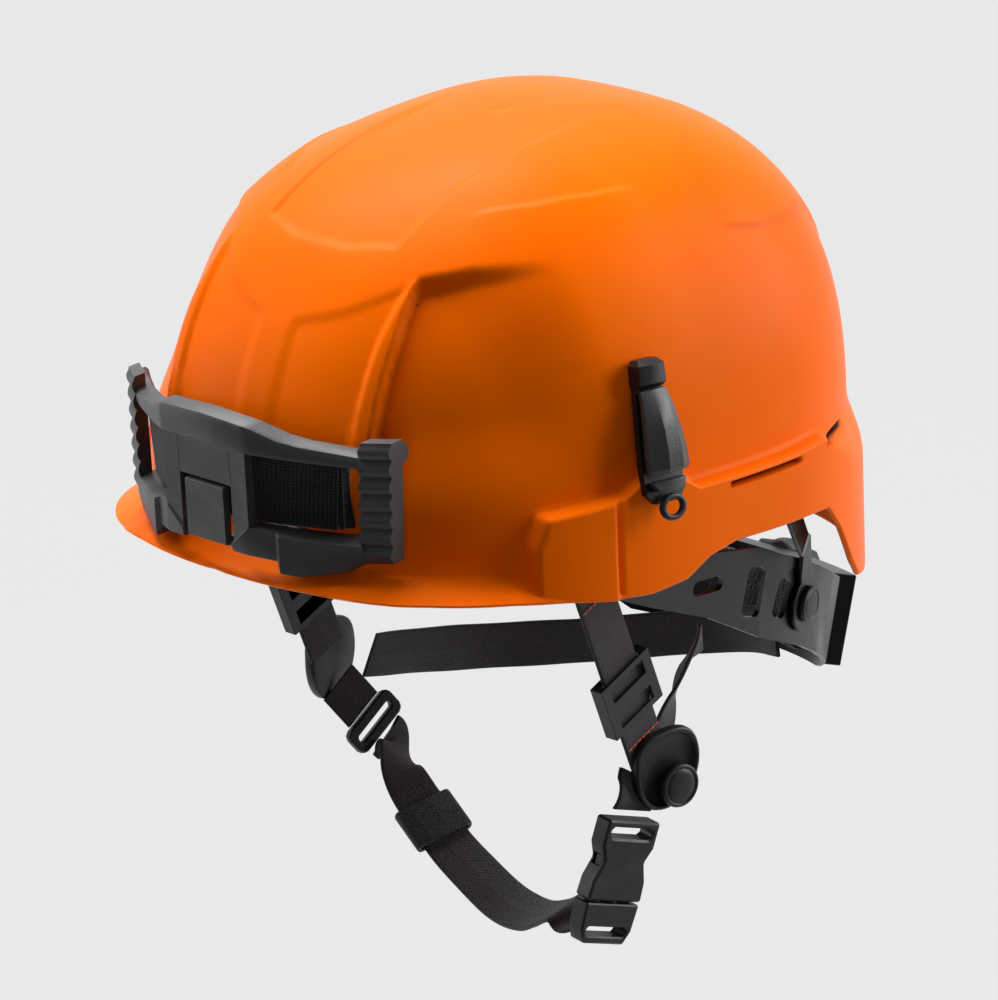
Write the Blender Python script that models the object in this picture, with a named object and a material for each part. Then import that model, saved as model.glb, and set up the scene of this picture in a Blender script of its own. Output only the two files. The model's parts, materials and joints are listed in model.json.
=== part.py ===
"""Climbing-style safety helmet with a four-point chin harness, ratchet nape cradle and lamp bracket.

Metres, +Z up, the wearer looks along -Y and the wearer's left is +X. The origin is the centre of the
head opening, level with the lowest point of the side rim. Every object is one piece of the helmet.
"""
import math

import bmesh
import bpy
import numpy as np
from mathutils import Matrix, Vector

# ---------------------------------------------------------------- driving dimensions (metres)
SHELL_HALF_WIDTH = 0.1118      # half width at the widest level
SHELL_FRONT = 0.1465           # centre to the front of the dome
SHELL_REAR = 0.1335            # centre to the back of the dome
CROWN_HEIGHT = 0.134           # crown above the widest level
WIDEST_LEVEL = 0.020           # the dome is widest this far above the side rim
PLAN_POWER = 2.54              # squareness of the plan
PROFILE_POWER = 2.54           # squareness of the side view
CROWN_SHIFT = 0.019            # the dome leans back by this share of the height
SHELL_WALL = 0.0026
BAND_DEPTH = 0.006             # the side band stands this far proud of the dome
BAND_START = 44.5              # plan angle where the band begins, 0 is the front
LINER_THICKNESS = 0.018
LINER_RIM = 0.032              # level of the liner's lower edge
FIT_GAP = 0.0005               # clearance between pieces that lie against each other
LINER_GAP = 0.0010             # clearance between the faceted liner and shell
PAD_GAP = 0.0030               # clearance between the crown pad and the liner
SEAT_GAP = 0.0003              # clearance between faces that touch

# plan angle in degrees and level: the lower edge, the top of the band and the brim's reach
RIM_LINE = ((0, 0.020), (15, 0.019), (30, 0.0155), (41, 0.0115), (58, 0.0025), (66, 0.0), (74, 0.0005),
            (80, 0.0058), (88, 0.0072), (111, 0.0015), (121, -0.0015), (127, -0.016), (133, -0.037),
            (139, -0.045), (180, -0.046))
BAND_LINE = ((0, 0.041), (61, 0.041), (65, 0.045), (71, 0.045), (78, 0.035), (107, 0.030), (135, 0.027),
             (180, 0.027))
BRIM_LINE = ((0, 0.012), (26, 0.0105), (41, 0.0075), (50, 0.006), (180, 0.006))

POCKET_FROM = 46.5             # accessory pocket, plan angles
POCKET_TO = 57.5
POCKET_GAP = 0.0047            # room for an accessory blade
POCKET_TOP = 0.034
VENT_HEIGHT = 0.0026
VENT_SPANS = ((86.5, 107.5), (117.0, 128.5))

HEADBAND_HALF_WIDTH = 0.079
HEADBAND_FRONT = 0.103
HEADBAND_HEIGHT = 0.028
HEADBAND_WALL = 0.0016
BROW_PAD_THICKNESS = 0.004

CRADLE_HALF_WIDTH = 0.080
CRADLE_WALL = 0.0022
CRADLE_HEIGHT = 0.038
CRADLE_LEAN = 18.0             # the ratchet's lower edge leans in towards the neck, degrees
CRADLE_ARC_RADIUS = 0.095
CRADLE_ARC_HALF_ANGLE = 32.0
CRADLE_REAR = 0.142            # centre to the middle of the cradle's back
CRADLE_LEVEL = -0.094          # level of the ratchet's centre
PIVOT = Vector((CRADLE_HALF_WIDTH, -0.035, -0.006))
KNOB_RADIUS = 0.023
KNOB_DEPTH = 0.014
KNOB_LOBES = 12
HOUSING_DEPTH = 0.0105
HOUSING_WALL = 0.0016
PINION_TEETH = 10
PINION_PITCH_RADIUS = 0.005
TOOTH_THICKNESS = 0.00115
SHAFT_RADIUS = 0.004
RACK_THICKNESS = 0.0016
HANGER_WIDTH = 0.010
HANGER_THICKNESS = 0.0018
EYELET_RADIUS = 0.0115
EYELET_AT = 0.089              # distance behind the middle
RIVET_RADIUS = 0.0063
RIVET_HEIGHT = 0.0018

WEBBING = 0.020                # width of the harness straps
WEBBING_THICKNESS = 0.0016
STRAP_PLANE = 0.0852           # the front straps hang this far from the middle
DIVIDER_PLANE = 0.0890         # the dividers lie outside the straps
REAR_PLANE = 0.0828            # the rear straps lie inside the front ones
CHIN_LEVEL = -0.1684           # level of the chin strap under the chin

LAMP_PLATE_FRONT = -0.162      # front face of the lamp bracket
LAMP_PLATE_HALF = 0.020
LAMP_HALF_WIDTH = 0.068
LAMP_END_FRONT = -0.133
LAMP_FLOOR = 0.0245
ELASTIC_WIDTH = 0.032
ELASTIC_THICKNESS = 0.0030
LATCH_HALF = 0.0102
LATCH_TOP = 0.051
LATCH_SLOT = 0.003

CLIP_ANGLE = 68.0              # plan angle of the side clip
CLIP_LEVEL = 0.062
CLIP_HEIGHT = 0.052
CLIP_WIDTH = 0.020
CLIP_LIFT = 0.0062             # the base's middle stands this far off the dome, clear of the band
CLIP_FACE = Matrix.Rotation(math.pi / 2, 4, "Y")

# ---------------------------------------------------------------- scene and materials
for old in list(bpy.data.objects):
    bpy.data.objects.remove(old)


def material(name, colour, roughness):
    made = bpy.data.materials.new(name)
    made.use_nodes = True
    shader = made.node_tree.nodes["Principled BSDF"]
    shader.inputs["Base Color"].default_value = (*colour, 1.0)
    shader.inputs["Roughness"].default_value = roughness
    shader.inputs["Metallic"].default_value = 0.0
    return made


ORANGE = material("orange_shell", (1.0, 0.17, 0.0), 0.35)
FOAM = material("liner_foam", (0.03, 0.03, 0.032), 0.9)
BLACK = material("black_plastic", (0.012, 0.012, 0.013), 0.4)
GREY = material("dark_grey_plastic", (0.045, 0.046, 0.05), 0.5)
WEB = material("webbing", (0.030, 0.026, 0.028), 0.85)
ELASTIC = material("elastic", (0.008, 0.008, 0.009), 0.9)
PAD = material("pad_fabric", (0.02, 0.02, 0.022), 0.95)
STEEL = material("steel_pin", (0.45, 0.45, 0.46), 0.3)
STEEL.node_tree.nodes["Principled BSDF"].inputs["Metallic"].default_value = 1.0


# ---------------------------------------------------------------- mesh helpers
def finish(name, mesh, paint, smooth_angle=35.0):
    """Links a bmesh as one object, its faces pointing out, shaded smooth below the given angle."""
    bmesh.ops.recalc_face_normals(mesh, faces=mesh.faces)
    data = bpy.data.meshes.new(name)
    mesh.to_mesh(data)
    mesh.free()
    data.materials.append(paint)
    data.shade_smooth()
    data.set_sharp_from_angle(angle=math.radians(smooth_angle))
    made = bpy.data.objects.new(name, data)
    bpy.context.scene.collection.objects.link(made)
    return made


def add_loft(mesh, rings, closed=False):
    """Joins rings of equal length with quads, and caps the two ends unless the loft is closed."""
    loops = [[mesh.verts.new(point) for point in ring] for ring in rings]
    count = len(loops[0])
    pairs = list(zip(loops, loops[1:]))
    if closed:
        pairs.append((loops[-1], loops[0]))
    for low, high in pairs:
        for i in range(count):
            j = (i + 1) % count
            mesh.faces.new((low[i], low[j], high[j], high[i]))
    if not closed:
        mesh.faces.new(loops[0][::-1])
        mesh.faces.new(loops[-1])


def loft(name, rings, paint, closed=False, smooth_angle=35.0):
    mesh = bmesh.new()
    add_loft(mesh, rings, closed)
    return finish(name, mesh, paint, smooth_angle)


def rectangle(centre, across, along, width, height):
    """Four corners of a rectangle spanned by two unit vectors."""
    centre = Vector(centre)
    a = Vector(across) * (width / 2)
    b = Vector(along) * (height / 2)
    return [centre - a - b, centre + a - b, centre + a + b, centre - a + b]


def block(name, size, place, paint, bevel=0.0):
    """A box of the given size, placed by a matrix, with bevelled edges."""
    mesh = bmesh.new()
    bmesh.ops.create_cube(mesh, size=1.0, matrix=Matrix.Diagonal((*size, 1.0)))
    made = finish(name, mesh, paint)
    made.matrix_world = place
    if bevel:
        round_edges(made, bevel)
    return made


def disc(name, radius, depth, place, paint, segments=32, bevel=0.0):
    """A cylinder along its own Z, placed by a matrix."""
    mesh = bmesh.new()
    bmesh.ops.create_cone(mesh, cap_ends=True, segments=segments, radius1=radius, radius2=radius,
                          depth=depth)
    made = finish(name, mesh, paint)
    made.matrix_world = place
    if bevel:
        round_edges(made, bevel)
    return made


def plate(name, outline, thickness, place, paint, bevel=0.0):
    """A flat outline in its own XY, given a thickness along Z about its middle, placed by a matrix."""
    mesh = bmesh.new()
    base = [mesh.verts.new((x, y, -thickness / 2)) for x, y in outline]
    face = mesh.faces.new(base)
    top = bmesh.ops.extrude_face_region(mesh, geom=[face])["geom"]
    lifted = [v for v in top if isinstance(v, bmesh.types.BMVert)]
    bmesh.ops.translate(mesh, verts=lifted, vec=(0, 0, thickness))
    made = finish(name, mesh, paint)
    made.matrix_world = place
    if bevel:
        round_edges(made, bevel)
    return made


def round_edges(made, width, segments=1):
    bevel = made.modifiers.new("edges", "BEVEL")
    bevel.width = width
    bevel.segments = segments
    bevel.limit_method = "ANGLE"
    bevel.angle_limit = math.radians(40)


def cut(target, cutter, operation="DIFFERENCE"):
    """A Boolean with a hidden second object."""
    cutter.hide_render = True
    cutter.display_type = "WIRE"
    modifier = target.modifiers.new(cutter.name, "BOOLEAN")
    modifier.operation = operation
    modifier.object = cutter


def basis(origin, x_axis, y_axis):
    """A placing matrix from an origin and two directions, the second made square to the first."""
    x = Vector(x_axis).normalized()
    z = x.cross(Vector(y_axis)).normalized()
    y = z.cross(x)
    made = Matrix((x, y, z)).transposed().to_4x4()
    made.translation = Vector(origin)
    return made


def rounded(width, height, radius, steps=4):
    """The outline of a rectangle with round corners, centred on the origin."""
    points = []
    for corner, (sx, sy) in enumerate(((1, 1), (-1, 1), (-1, -1), (1, -1))):
        for k in range(steps + 1):
            turn = math.radians(90 * corner + 90 * k / steps)
            points.append((sx * (width / 2 - radius) + radius * math.cos(turn),
                           sy * (height / 2 - radius) + radius * math.sin(turn)))
    return points


# ---------------------------------------------------------------- shell surface
def line(points, angle):
    """Reads one of the angle and level lines above, alike on both sides."""
    angles, values = zip(*points)
    return np.interp(np.abs(angle), angles, values)


def shell_points(angle, level, grow):
    """Points of the dome grown outwards: a superellipse in plan that shrinks by a superellipse in
    height, and runs straight down below the widest level. Arrays of equal shape."""
    turn = np.radians(angle)
    half = SHELL_HALF_WIDTH + grow
    length = np.where(np.cos(turn) > 0, SHELL_FRONT, SHELL_REAR) + grow
    rise = np.clip((level - WIDEST_LEVEL) / (CROWN_HEIGHT + grow), 0, 1)
    shrink = (1 - rise ** PROFILE_POWER) ** (1 / PROFILE_POWER)
    radius = (np.abs(np.sin(turn) / half) ** PLAN_POWER
              + np.abs(np.cos(turn) / length) ** PLAN_POWER) ** (-1 / PLAN_POWER)
    x = np.sin(turn) * radius * shrink
    y = -np.cos(turn) * radius * shrink + CROWN_SHIFT * np.maximum(level - WIDEST_LEVEL, 0)
    return np.stack([x, y, level + 0 * x], axis=-1)


def dome_rows(angle, low_level, grow, rows):
    """Rows from just below the crown down to a level, evenly spaced along the side view's curve."""
    height = CROWN_HEIGHT + grow
    share = np.clip((low_level - WIDEST_LEVEL) / height, 0, 1)
    lowest = np.arcsin(share ** (PROFILE_POWER / 2))
    made = []
    for row in range(1, rows + 1):
        turn = math.pi / 2 + (lowest - math.pi / 2) * row / rows
        made.append(shell_points(angle, WIDEST_LEVEL + height * np.sin(turn) ** (2 / PROFILE_POWER), grow))
    return made


def crown_point(grow):
    height = CROWN_HEIGHT + grow
    return Vector((0, CROWN_SHIFT * height, WIDEST_LEVEL + height))


def add_cap(mesh, crown, rows, flip):
    """A grid of rows closed by a fan at the crown; returns the lowest row's vertices."""
    top = mesh.verts.new(crown)
    grid = [[mesh.verts.new(point) for point in row] for row in rows]
    count = len(grid[0])
    faces = []
    for i in range(count):
        j = (i + 1) % count
        faces.append((top, grid[0][i], grid[0][j]))
        for low, high in zip(grid, grid[1:]):
            faces.append((low[i], high[i], high[j], low[j]))
    for face in faces:
        mesh.faces.new(face[::-1] if flip else face)
    return grid[-1]


def band_grow(angle):
    """How far the side band stands out at each plan angle: nothing in front of its start."""
    return BAND_DEPTH * np.clip((np.abs(angle) - BAND_START) / 1.5 + 1, 0, 1)


def wall_rows(angle, outer, hollow):
    """Rows from the band's top down to the rim, outside or inside the wall."""
    wall = 0.0 if outer else -SHELL_WALL
    top = line(BAND_LINE, angle) + wall
    rim = line(RIM_LINE, angle)
    band = band_grow(angle) * hollow
    brim = line(BRIM_LINE, angle) * hollow
    made = []
    for share, brim_share in ((0.0, 0), (0.05, 0), (0.45, 0), (0.75, 0.08), (0.92, 0.45), (1.0, 1.0)):
        level = top + (rim - top) * share
        proud = band * min(share / 0.05, 1)
        made.append(shell_points(angle, level, wall + np.maximum(proud, brim * brim_share)))
    return made


def column_angles():
    """Plan angles of the shell's columns: even steps, and the angles where its outline turns."""
    keys = [BAND_START - 1.5, BAND_START, POCKET_FROM - 1.0, POCKET_TO + 1.5, 71, 78, 121, 124, 130, 136]
    angles = set(float(a) for a in range(-180, 180, 8))
    for key in keys:
        angles |= {float(key), -float(key)}
    ordered = sorted(angles)
    return np.array([a for i, a in enumerate(ordered) if i == 0 or a - ordered[i - 1] > 0.8])


def make_shell():
    angle = column_angles()
    solid = (np.abs(angle) > POCKET_FROM - 1.5) & (np.abs(angle) < POCKET_TO + 2.0)
    outer = dome_rows(angle, line(BAND_LINE, angle), 0.0, 11)
    outer += wall_rows(angle, True, 1.0)
    inner_top = line(BAND_LINE, angle) - SHELL_WALL
    inner = dome_rows(angle, inner_top, -SHELL_WALL, 7)
    inner += wall_rows(angle, False, np.where(solid, 0.0, 1.0))
    mesh = bmesh.new()
    outer_rim = add_cap(mesh, crown_point(0.0), outer, False)
    inner_rim = add_cap(mesh, crown_point(-SHELL_WALL), inner, True)
    count = len(outer_rim)
    for i in range(count):
        j = (i + 1) % count
        mesh.faces.new((outer_rim[i], inner_rim[i], inner_rim[j], outer_rim[j]))
    bmesh.ops.remove_doubles(mesh, verts=mesh.verts, dist=1e-6)
    shell = finish("shell", mesh, ORANGE, 40.0)
    for side, sign in (("left", 1), ("right", -1)):
        cut(shell, pocket_cutter(f"pocket_{side}", sign))
        for number, (start, end) in enumerate(VENT_SPANS):
            cut(shell, vent_cutter(f"vent_{side}_{number}", sign, start, end))
    return shell


def pocket_cutter(name, sign):
    """The room inside the accessory pocket, curved with the shell and open at the rim."""
    rings = []
    for angle in np.linspace(POCKET_FROM, POCKET_TO, 5):
        ring = []
        for grow, level in ((0.0002, -0.02), (0.0002 + POCKET_GAP, -0.02), (0.0002 + POCKET_GAP, POCKET_TOP),
                            (0.0002, POCKET_TOP)):
            ring.append(Vector(shell_points(np.array(sign * angle), np.array(level), grow)))
        rings.append(ring)
    return loft(name, rings, ORANGE)


def vent_cutter(name, sign, start, end):
    """A slit that runs in through the band's sloping top."""
    rings = []
    for angle in np.linspace(start, end, 5):
        level = float(line(BAND_LINE, angle)) - 0.0058
        ring = []
        for grow, drop in ((-0.010, 0.0), (0.012, 0.0), (0.012, VENT_HEIGHT), (-0.010, VENT_HEIGHT)):
            ring.append(Vector(shell_points(np.array(sign * angle), np.array(level + drop), grow)))
        rings.append(ring)
    return loft(name, rings, ORANGE)


def make_liner():
    angle = np.arange(-180.0, 180.0, 10.0)
    rim = np.full_like(angle, LINER_RIM)
    outer_grow = -(SHELL_WALL + LINER_GAP)
    inner_grow = outer_grow - LINER_THICKNESS
    mesh = bmesh.new()
    outer_rim = add_cap(mesh, crown_point(outer_grow), dome_rows(angle, rim, outer_grow, 7), False)
    inner_rim = add_cap(mesh, crown_point(inner_grow), dome_rows(angle, rim, inner_grow, 7), True)
    for i in range(len(outer_rim)):
        j = (i + 1) % len(outer_rim)
        mesh.faces.new((outer_rim[i], inner_rim[i], inner_rim[j], outer_rim[j]))
    return finish("impact_liner", mesh, FOAM, 40.0)


def make_crown_pad():
    """A soft disc under the crown that follows the liner's inside."""
    grow = -(SHELL_WALL + LINER_GAP + LINER_THICKNESS + PAD_GAP)
    angle = np.arange(-180.0, 180.0, 20.0)
    mesh = bmesh.new()
    low = WIDEST_LEVEL + 0.90 * (CROWN_HEIGHT + grow)
    rims = []
    for thickness, flip in ((0.0, False), (0.006, True)):
        rows = dome_rows(angle, np.full_like(angle, low), grow - thickness, 3)
        rims.append(add_cap(mesh, crown_point(grow - thickness), rows, flip))
    for i in range(len(angle)):
        j = (i + 1) % len(angle)
        mesh.faces.new((rims[0][i], rims[1][i], rims[1][j], rims[0][j]))
    return finish("crown_pad", mesh, PAD)


# ---------------------------------------------------------------- headband
def headband_path(angle, grow):
    """The headband's plan: a half superellipse in front, straight beside the temples."""
    turn = math.radians(angle)
    half = HEADBAND_HALF_WIDTH + grow
    front = HEADBAND_FRONT + grow
    power = 2.4
    radius = (abs(math.sin(turn) / half) ** power + abs(math.cos(turn) / front) ** power) ** (-1 / power)
    return math.sin(turn) * radius, -math.cos(turn) * radius


def headband_level(angle):
    """Level of the headband's middle: high on the forehead, lower at the temples."""
    return 0.026 - 0.020 * (abs(angle) / 90) ** 2


def curved_strip(name, angles, grow, thickness, height, paint):
    """A strip that lies on the headband's plan, outside it by grow."""
    rings = []
    for angle in angles:
        low = headband_level(angle) - height(angle) / 2
        high = low + height(angle)
        xi, yi = headband_path(angle, grow)
        xo, yo = headband_path(angle, grow + thickness)
        rings.append([(xi, yi, low), (xo, yo, low), (xo, yo, high), (xi, yi, high)])
    return loft(name, rings, paint)


def make_headband():
    angles = np.linspace(-96, 96, 41)
    curved_strip("headband", angles, 0.0, HEADBAND_WALL,
                 lambda a: HEADBAND_HEIGHT * (1 - 0.35 * (abs(a) / 96) ** 2), BLACK)
    pad_angles = np.linspace(-52, 52, 21)
    curved_strip("brow_pad", pad_angles, -(FIT_GAP + BROW_PAD_THICKNESS), BROW_PAD_THICKNESS,
                 lambda a: 0.034 * math.sqrt(max(1 - (abs(a) / 54) ** 6, 0.08)), PAD)


def clip_arm(name, angle, level, width):
    """An arm from the shell's inside to the headband's outside."""
    x0, y0 = headband_path(angle, HEADBAND_WALL + SEAT_GAP)
    inner = shell_points(np.array(angle), np.array(level), -(SHELL_WALL + FIT_GAP))
    start = Vector((x0, y0, level))
    end = Vector(inner)
    along = (end - start).normalized()
    start += along * 0.0012
    end -= along * 0.0016
    side = Vector((0, 0, 1)).cross(along)
    rings = [rectangle(start, side, (0, 0, 1), width, 0.010),
             rectangle(start.lerp(end, 0.5), side, (0, 0, 1), width * 0.7, 0.0045),
             rectangle(end, side, (0, 0, 1), width, 0.009)]
    return loft(name, rings, BLACK)


def make_headband_clips():
    for side, sign in (("left", 1), ("right", -1)):
        clip_arm(f"headband_clip_front_{side}", 33 * sign, 0.0225, 0.014)
        clip_arm(f"headband_clip_rear_{side}", 84 * sign, 0.012, 0.012)


# ---------------------------------------------------------------- nape cradle
def cradle_frame():
    """Placing matrix of the ratchet: X to the wearer's left, Y straight out at the back, Z up, all
    leaning so that the lower edge is nearer the neck."""
    made = Matrix.Rotation(math.radians(-CRADLE_LEAN), 4, "X")
    made.translation = Vector((0, CRADLE_REAR, CRADLE_LEVEL))
    return made


def ratchet_axis():
    """The cradle's frame turned so that Z runs along the knob's axis."""
    return cradle_frame() @ Matrix.Rotation(math.pi / 2, 4, "X")


def arc_point(angle, radius_offset, height):
    """A point on the ratchet's arc, in the leaning frame."""
    turn = math.radians(angle)
    radius = CRADLE_ARC_RADIUS + radius_offset
    local = Vector((radius * math.sin(turn), radius * math.cos(turn) - CRADLE_ARC_RADIUS, height))
    return cradle_frame() @ local


def arc_sections():
    """Sections of the cradle on the ratchet's arc: middle, outward normal, up direction, height."""
    turned = cradle_frame().to_3x3()
    made = []
    for angle in np.linspace(0, CRADLE_ARC_HALF_ANGLE, 7):
        turn = math.radians(angle)
        out = turned @ Vector((math.sin(turn), math.cos(turn), 0))
        made.append((arc_point(angle, 0, 0), out, turned @ Vector((0, 0, 1)), CRADLE_HEIGHT))
    return made


def wing_sections():
    """Sections from the arc's end round to the left temple, where the cradle stands upright."""
    last, _, lean_up, _ = arc_sections()[-1]
    turn = math.radians(CRADLE_ARC_HALF_ANGLE)
    side = Vector((CRADLE_HALF_WIDTH, 0.035, 0))
    leaving = last + Vector((math.cos(turn), -math.sin(turn), 0)) * 0.0225
    ends = (last, leaving, side + Vector((0, 0.035, 0)), side)
    plan = []
    for t in np.linspace(0, 1, 8)[1:]:
        shares = ((1 - t) ** 3, 3 * t * (1 - t) ** 2, 3 * t * t * (1 - t), t ** 3)
        plan.append((sum((p * share for p, share in zip(ends, shares)), Vector()), 1 - t))
    for y in np.linspace(side.y, PIVOT.y - 0.008, 6)[1:]:
        plan.append((Vector((CRADLE_HALF_WIDTH, y, 0)), 0.0))
    points = [last] + [point for point, _ in plan]
    made = []
    for i, (point, lean) in enumerate(plan, start=1):
        point.z = float(np.interp(point.y, (-0.043, -0.02, 0.02, 0.05, 0.089, last.y),
                                  (-0.006, -0.018, -0.030, -0.043, -0.063, last.z)))
        height = float(np.interp(point.y, (-0.043, -0.02, 0.02, 0.05, last.y),
                                 (0.012, 0.013, 0.027, CRADLE_HEIGHT, CRADLE_HEIGHT)))
        tangent = points[min(i + 1, len(points) - 1)] - points[i - 1]
        tangent.z = 0
        up = (lean_up * lean + Vector((0, 0, 1 - lean))).normalized()
        out = up.cross(tangent).normalized()
        up = tangent.cross(out).normalized()
        made.append((point, out, up, height))
    return made


def mirror_section(section):
    """The same section on the wearer's right."""
    point, out, up, height = section
    flip = Vector((-1, 1, 1))
    return point * flip, out * flip, up * flip, height


def cradle_sections():
    left = arc_sections() + wing_sections()
    return [mirror_section(section) for section in left[:0:-1]] + left


def make_cradle():
    """The perforated yoke that runs round the nape from temple to temple."""
    rings = []
    for middle, out, up, height in cradle_sections():
        rings.append(rectangle(middle, out, up, CRADLE_WALL, height))
    cradle = loft("nape_cradle", rings, BLACK)
    for side, sign in (("left", 1), ("right", -1)):
        slots = ((0.020, 0.018, 0.006, 8), (0.048, 0.012, 0.020, 20), (0.067, 0.010, 0.016, 26))
        for number, (y, length, height, tilt) in enumerate(slots):
            level = float(np.interp(y, (0.02, 0.05, 0.089), (-0.030, -0.043, -0.063)))
            place = Matrix.Translation((sign * CRADLE_HALF_WIDTH * 0.985, y, level))
            place = place @ Matrix.Rotation(math.pi / 2, 4, "Y") @ Matrix.Rotation(math.pi / 2, 4, "Z")
            place = place @ Matrix.Rotation(math.radians(-sign * tilt), 4, "Z")
            cutter = plate(f"window_{side}_{number}", rounded(length, height, 0.0028), 0.020, place, BLACK)
            cut(cradle, cutter)
    shaft = disc("shaft_hole", SHAFT_RADIUS + FIT_GAP, 0.02, ratchet_axis(),
                 BLACK, 24)
    cut(cradle, shaft)
    return cradle


def arc_box(name, half_angle, near, far, height, paint, steps=13):
    """A curved box on the ratchet's arc between two offsets from the cradle's middle."""
    rings = []
    for angle in np.linspace(-half_angle, half_angle, steps):
        rings.append([arc_point(angle, near, -height / 2), arc_point(angle, far, -height / 2),
                      arc_point(angle, far, height / 2), arc_point(angle, near, height / 2)])
    return loft(name, rings, paint)


def make_ratchet():
    """The cover with its hollow, the knob with its shaft, and the pad on the inside."""
    near = CRADLE_WALL / 2 + SEAT_GAP
    far = near + HOUSING_DEPTH
    half_angle = 29.0
    cover = arc_box("ratchet_cover", half_angle, near, far, CRADLE_HEIGHT, GREY)
    room = arc_box("cover_room", half_angle - 1.2, near - 0.002, far - HOUSING_WALL,
                   CRADLE_HEIGHT - 2 * HOUSING_WALL, GREY)
    cut(cover, room)
    hole = disc("cover_hole", SHAFT_RADIUS + FIT_GAP, 0.06, ratchet_axis(),
                GREY, 24)
    cut(cover, hole)
    make_knob(far + FIT_GAP)
    inside = -(CRADLE_WALL / 2 + SEAT_GAP)
    arc_box("nape_pad", 24.0, inside - 0.005, inside, 0.032, PAD, 9)
    make_pinion(near, far)
    for side, sign in (("left", 1), ("right", -1)):
        make_rack(f"band_rack_{side}", sign)


def make_knob(start):
    """A scalloped knob turned about the ratchet's axis."""
    rings = []
    for depth, share in ((0.0, 0.93), (0.0012, 1.0), (KNOB_DEPTH - 0.003, 0.97), (KNOB_DEPTH, 0.84),
                         (KNOB_DEPTH, 0.70), (KNOB_DEPTH - 0.003, 0.62)):
        ring = []
        for k in range(48):
            turn = 2 * math.pi * k / 48
            scallop = 0.0009 * math.cos(KNOB_LOBES * turn) * min(1.0, (share - 0.62) / 0.3)
            radius = KNOB_RADIUS * share - 0.0009 + scallop
            spot = Vector((radius * math.cos(turn), start + depth, radius * math.sin(turn)))
            ring.append(cradle_frame() @ spot)
        rings.append(ring)
    return loft("ratchet_knob", rings, GREY)


def gear_outline():
    """A spur pinion's outline with tapered teeth, one tooth pointing straight up."""
    points = []
    for k in range(PINION_TEETH):
        middle = math.pi / 2 + 2 * math.pi * k / PINION_TEETH
        pitch_half = TOOTH_THICKNESS / 2 / PINION_PITCH_RADIUS
        flank = ((0.0039, pitch_half + 0.055), (0.0050, pitch_half), (0.0057, pitch_half - 0.062))
        for radius, half in flank + tuple((radius, -half) for radius, half in flank[::-1]):
            turn = middle - half
            points.append((radius * math.cos(turn), radius * math.sin(turn)))
    return points


def make_pinion(near, far):
    """The pinion and the shaft that joins it to the knob."""
    toward = cradle_frame() @ Matrix.Rotation(math.pi / 2, 4, "X")
    middle = near + 0.0030
    seat = toward @ Matrix.Translation((0, 0, -middle))
    gear = plate("ratchet_pinion", gear_outline(), 0.0032, seat, STEEL)
    length = far + FIT_GAP - SEAT_GAP - middle
    shaft = disc("pinion_shaft", SHAFT_RADIUS - 0.0004, length,
                 toward @ Matrix.Translation((0, 0, -(middle + length / 2))), STEEL, 24)
    cut(gear, shaft, "UNION")
    return gear


def make_rack(name, sign):
    """A toothed tail that lies along the arc, above the pinion on the left and below it on the right."""
    radius = CRADLE_WALL / 2 + 0.0026
    mean = CRADLE_ARC_RADIUS + radius + RACK_THICKNESS / 2
    pitch = 2 * math.pi * PINION_PITCH_RADIUS / PINION_TEETH
    half = TOOTH_THICKNESS / 2
    columns = []
    for k in range(-2, 13):
        middle = (k + 0.5) * pitch
        for offset, depth in ((-half - 0.00035, 0.00115), (-half + 0.00027, -0.0007),
                              (half - 0.00027, -0.0007), (half + 0.00035, 0.00115)):
            columns.append((middle + offset, PINION_PITCH_RADIUS + depth))
    rings = []
    for along, low in columns:
        angle = math.degrees(along / mean) * sign
        high = PINION_PITCH_RADIUS + 0.0062
        outer = radius + RACK_THICKNESS
        rings.append([arc_point(angle, radius, low * sign), arc_point(angle, outer, low * sign),
                      arc_point(angle, outer, high * sign), arc_point(angle, radius, high * sign)])
    return loft(name, rings, BLACK)


def eyelet_section(sign):
    """The cradle's section that carries the hanger's eyelet."""
    section = min(wing_sections(), key=lambda made: abs(made[0].y - EYELET_AT))
    return section if sign > 0 else mirror_section(section)


def make_hangers():
    """Arms that carry the cradle, each ending in a round eyelet held by a rivet."""
    for side, sign in (("left", 1), ("right", -1)):
        middle, out, up, height = eyelet_section(sign)
        eye = middle + out * (CRADLE_WALL / 2 + SEAT_GAP + HANGER_THICKNESS / 2)
        brow = eye + up * (height / 2 + 0.006)
        points = [eye, eye.lerp(brow, 0.5), brow, Vector((sign * 0.0960, 0.060, -0.022)),
                  Vector((sign * 0.1030, 0.046, -0.004)), Vector((sign * 0.1040, 0.041, 0.012))]
        rings = []
        for i, point in enumerate(points):
            along = (points[min(i + 1, 5)] - points[max(i - 1, 0)]).normalized()
            across = along.cross(out).normalized()
            rings.append(rectangle(point, across, across.cross(along), HANGER_WIDTH, HANGER_THICKNESS))
        hanger = loft(f"hanger_{side}", rings, BLACK)
        place = basis(eye, up, out.cross(up))
        facing = 1 if (place.to_3x3() @ Vector((0, 0, 1))).dot(out) > 0 else -1
        cut(hanger, disc(f"eyelet_{side}", EYELET_RADIUS, HANGER_THICKNESS, place, BLACK, 28), "UNION")
        lift = HANGER_THICKNESS / 2 + SEAT_GAP + RIVET_HEIGHT / 2
        seat = place @ Matrix.Translation((0, 0, facing * lift))
        disc(f"hanger_rivet_{side}", RIVET_RADIUS, RIVET_HEIGHT, seat, GREY, 24, 0.0005)


# ---------------------------------------------------------------- lamp bracket
def lamp_front(x):
    """The bracket's front in plan: flat in the middle, swept back to both ends."""
    share = max(abs(x) - LAMP_PLATE_HALF, 0) / (LAMP_HALF_WIDTH - LAMP_PLATE_HALF)
    return LAMP_PLATE_FRONT + (LAMP_END_FRONT - LAMP_PLATE_FRONT) * share ** 1.08


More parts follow.
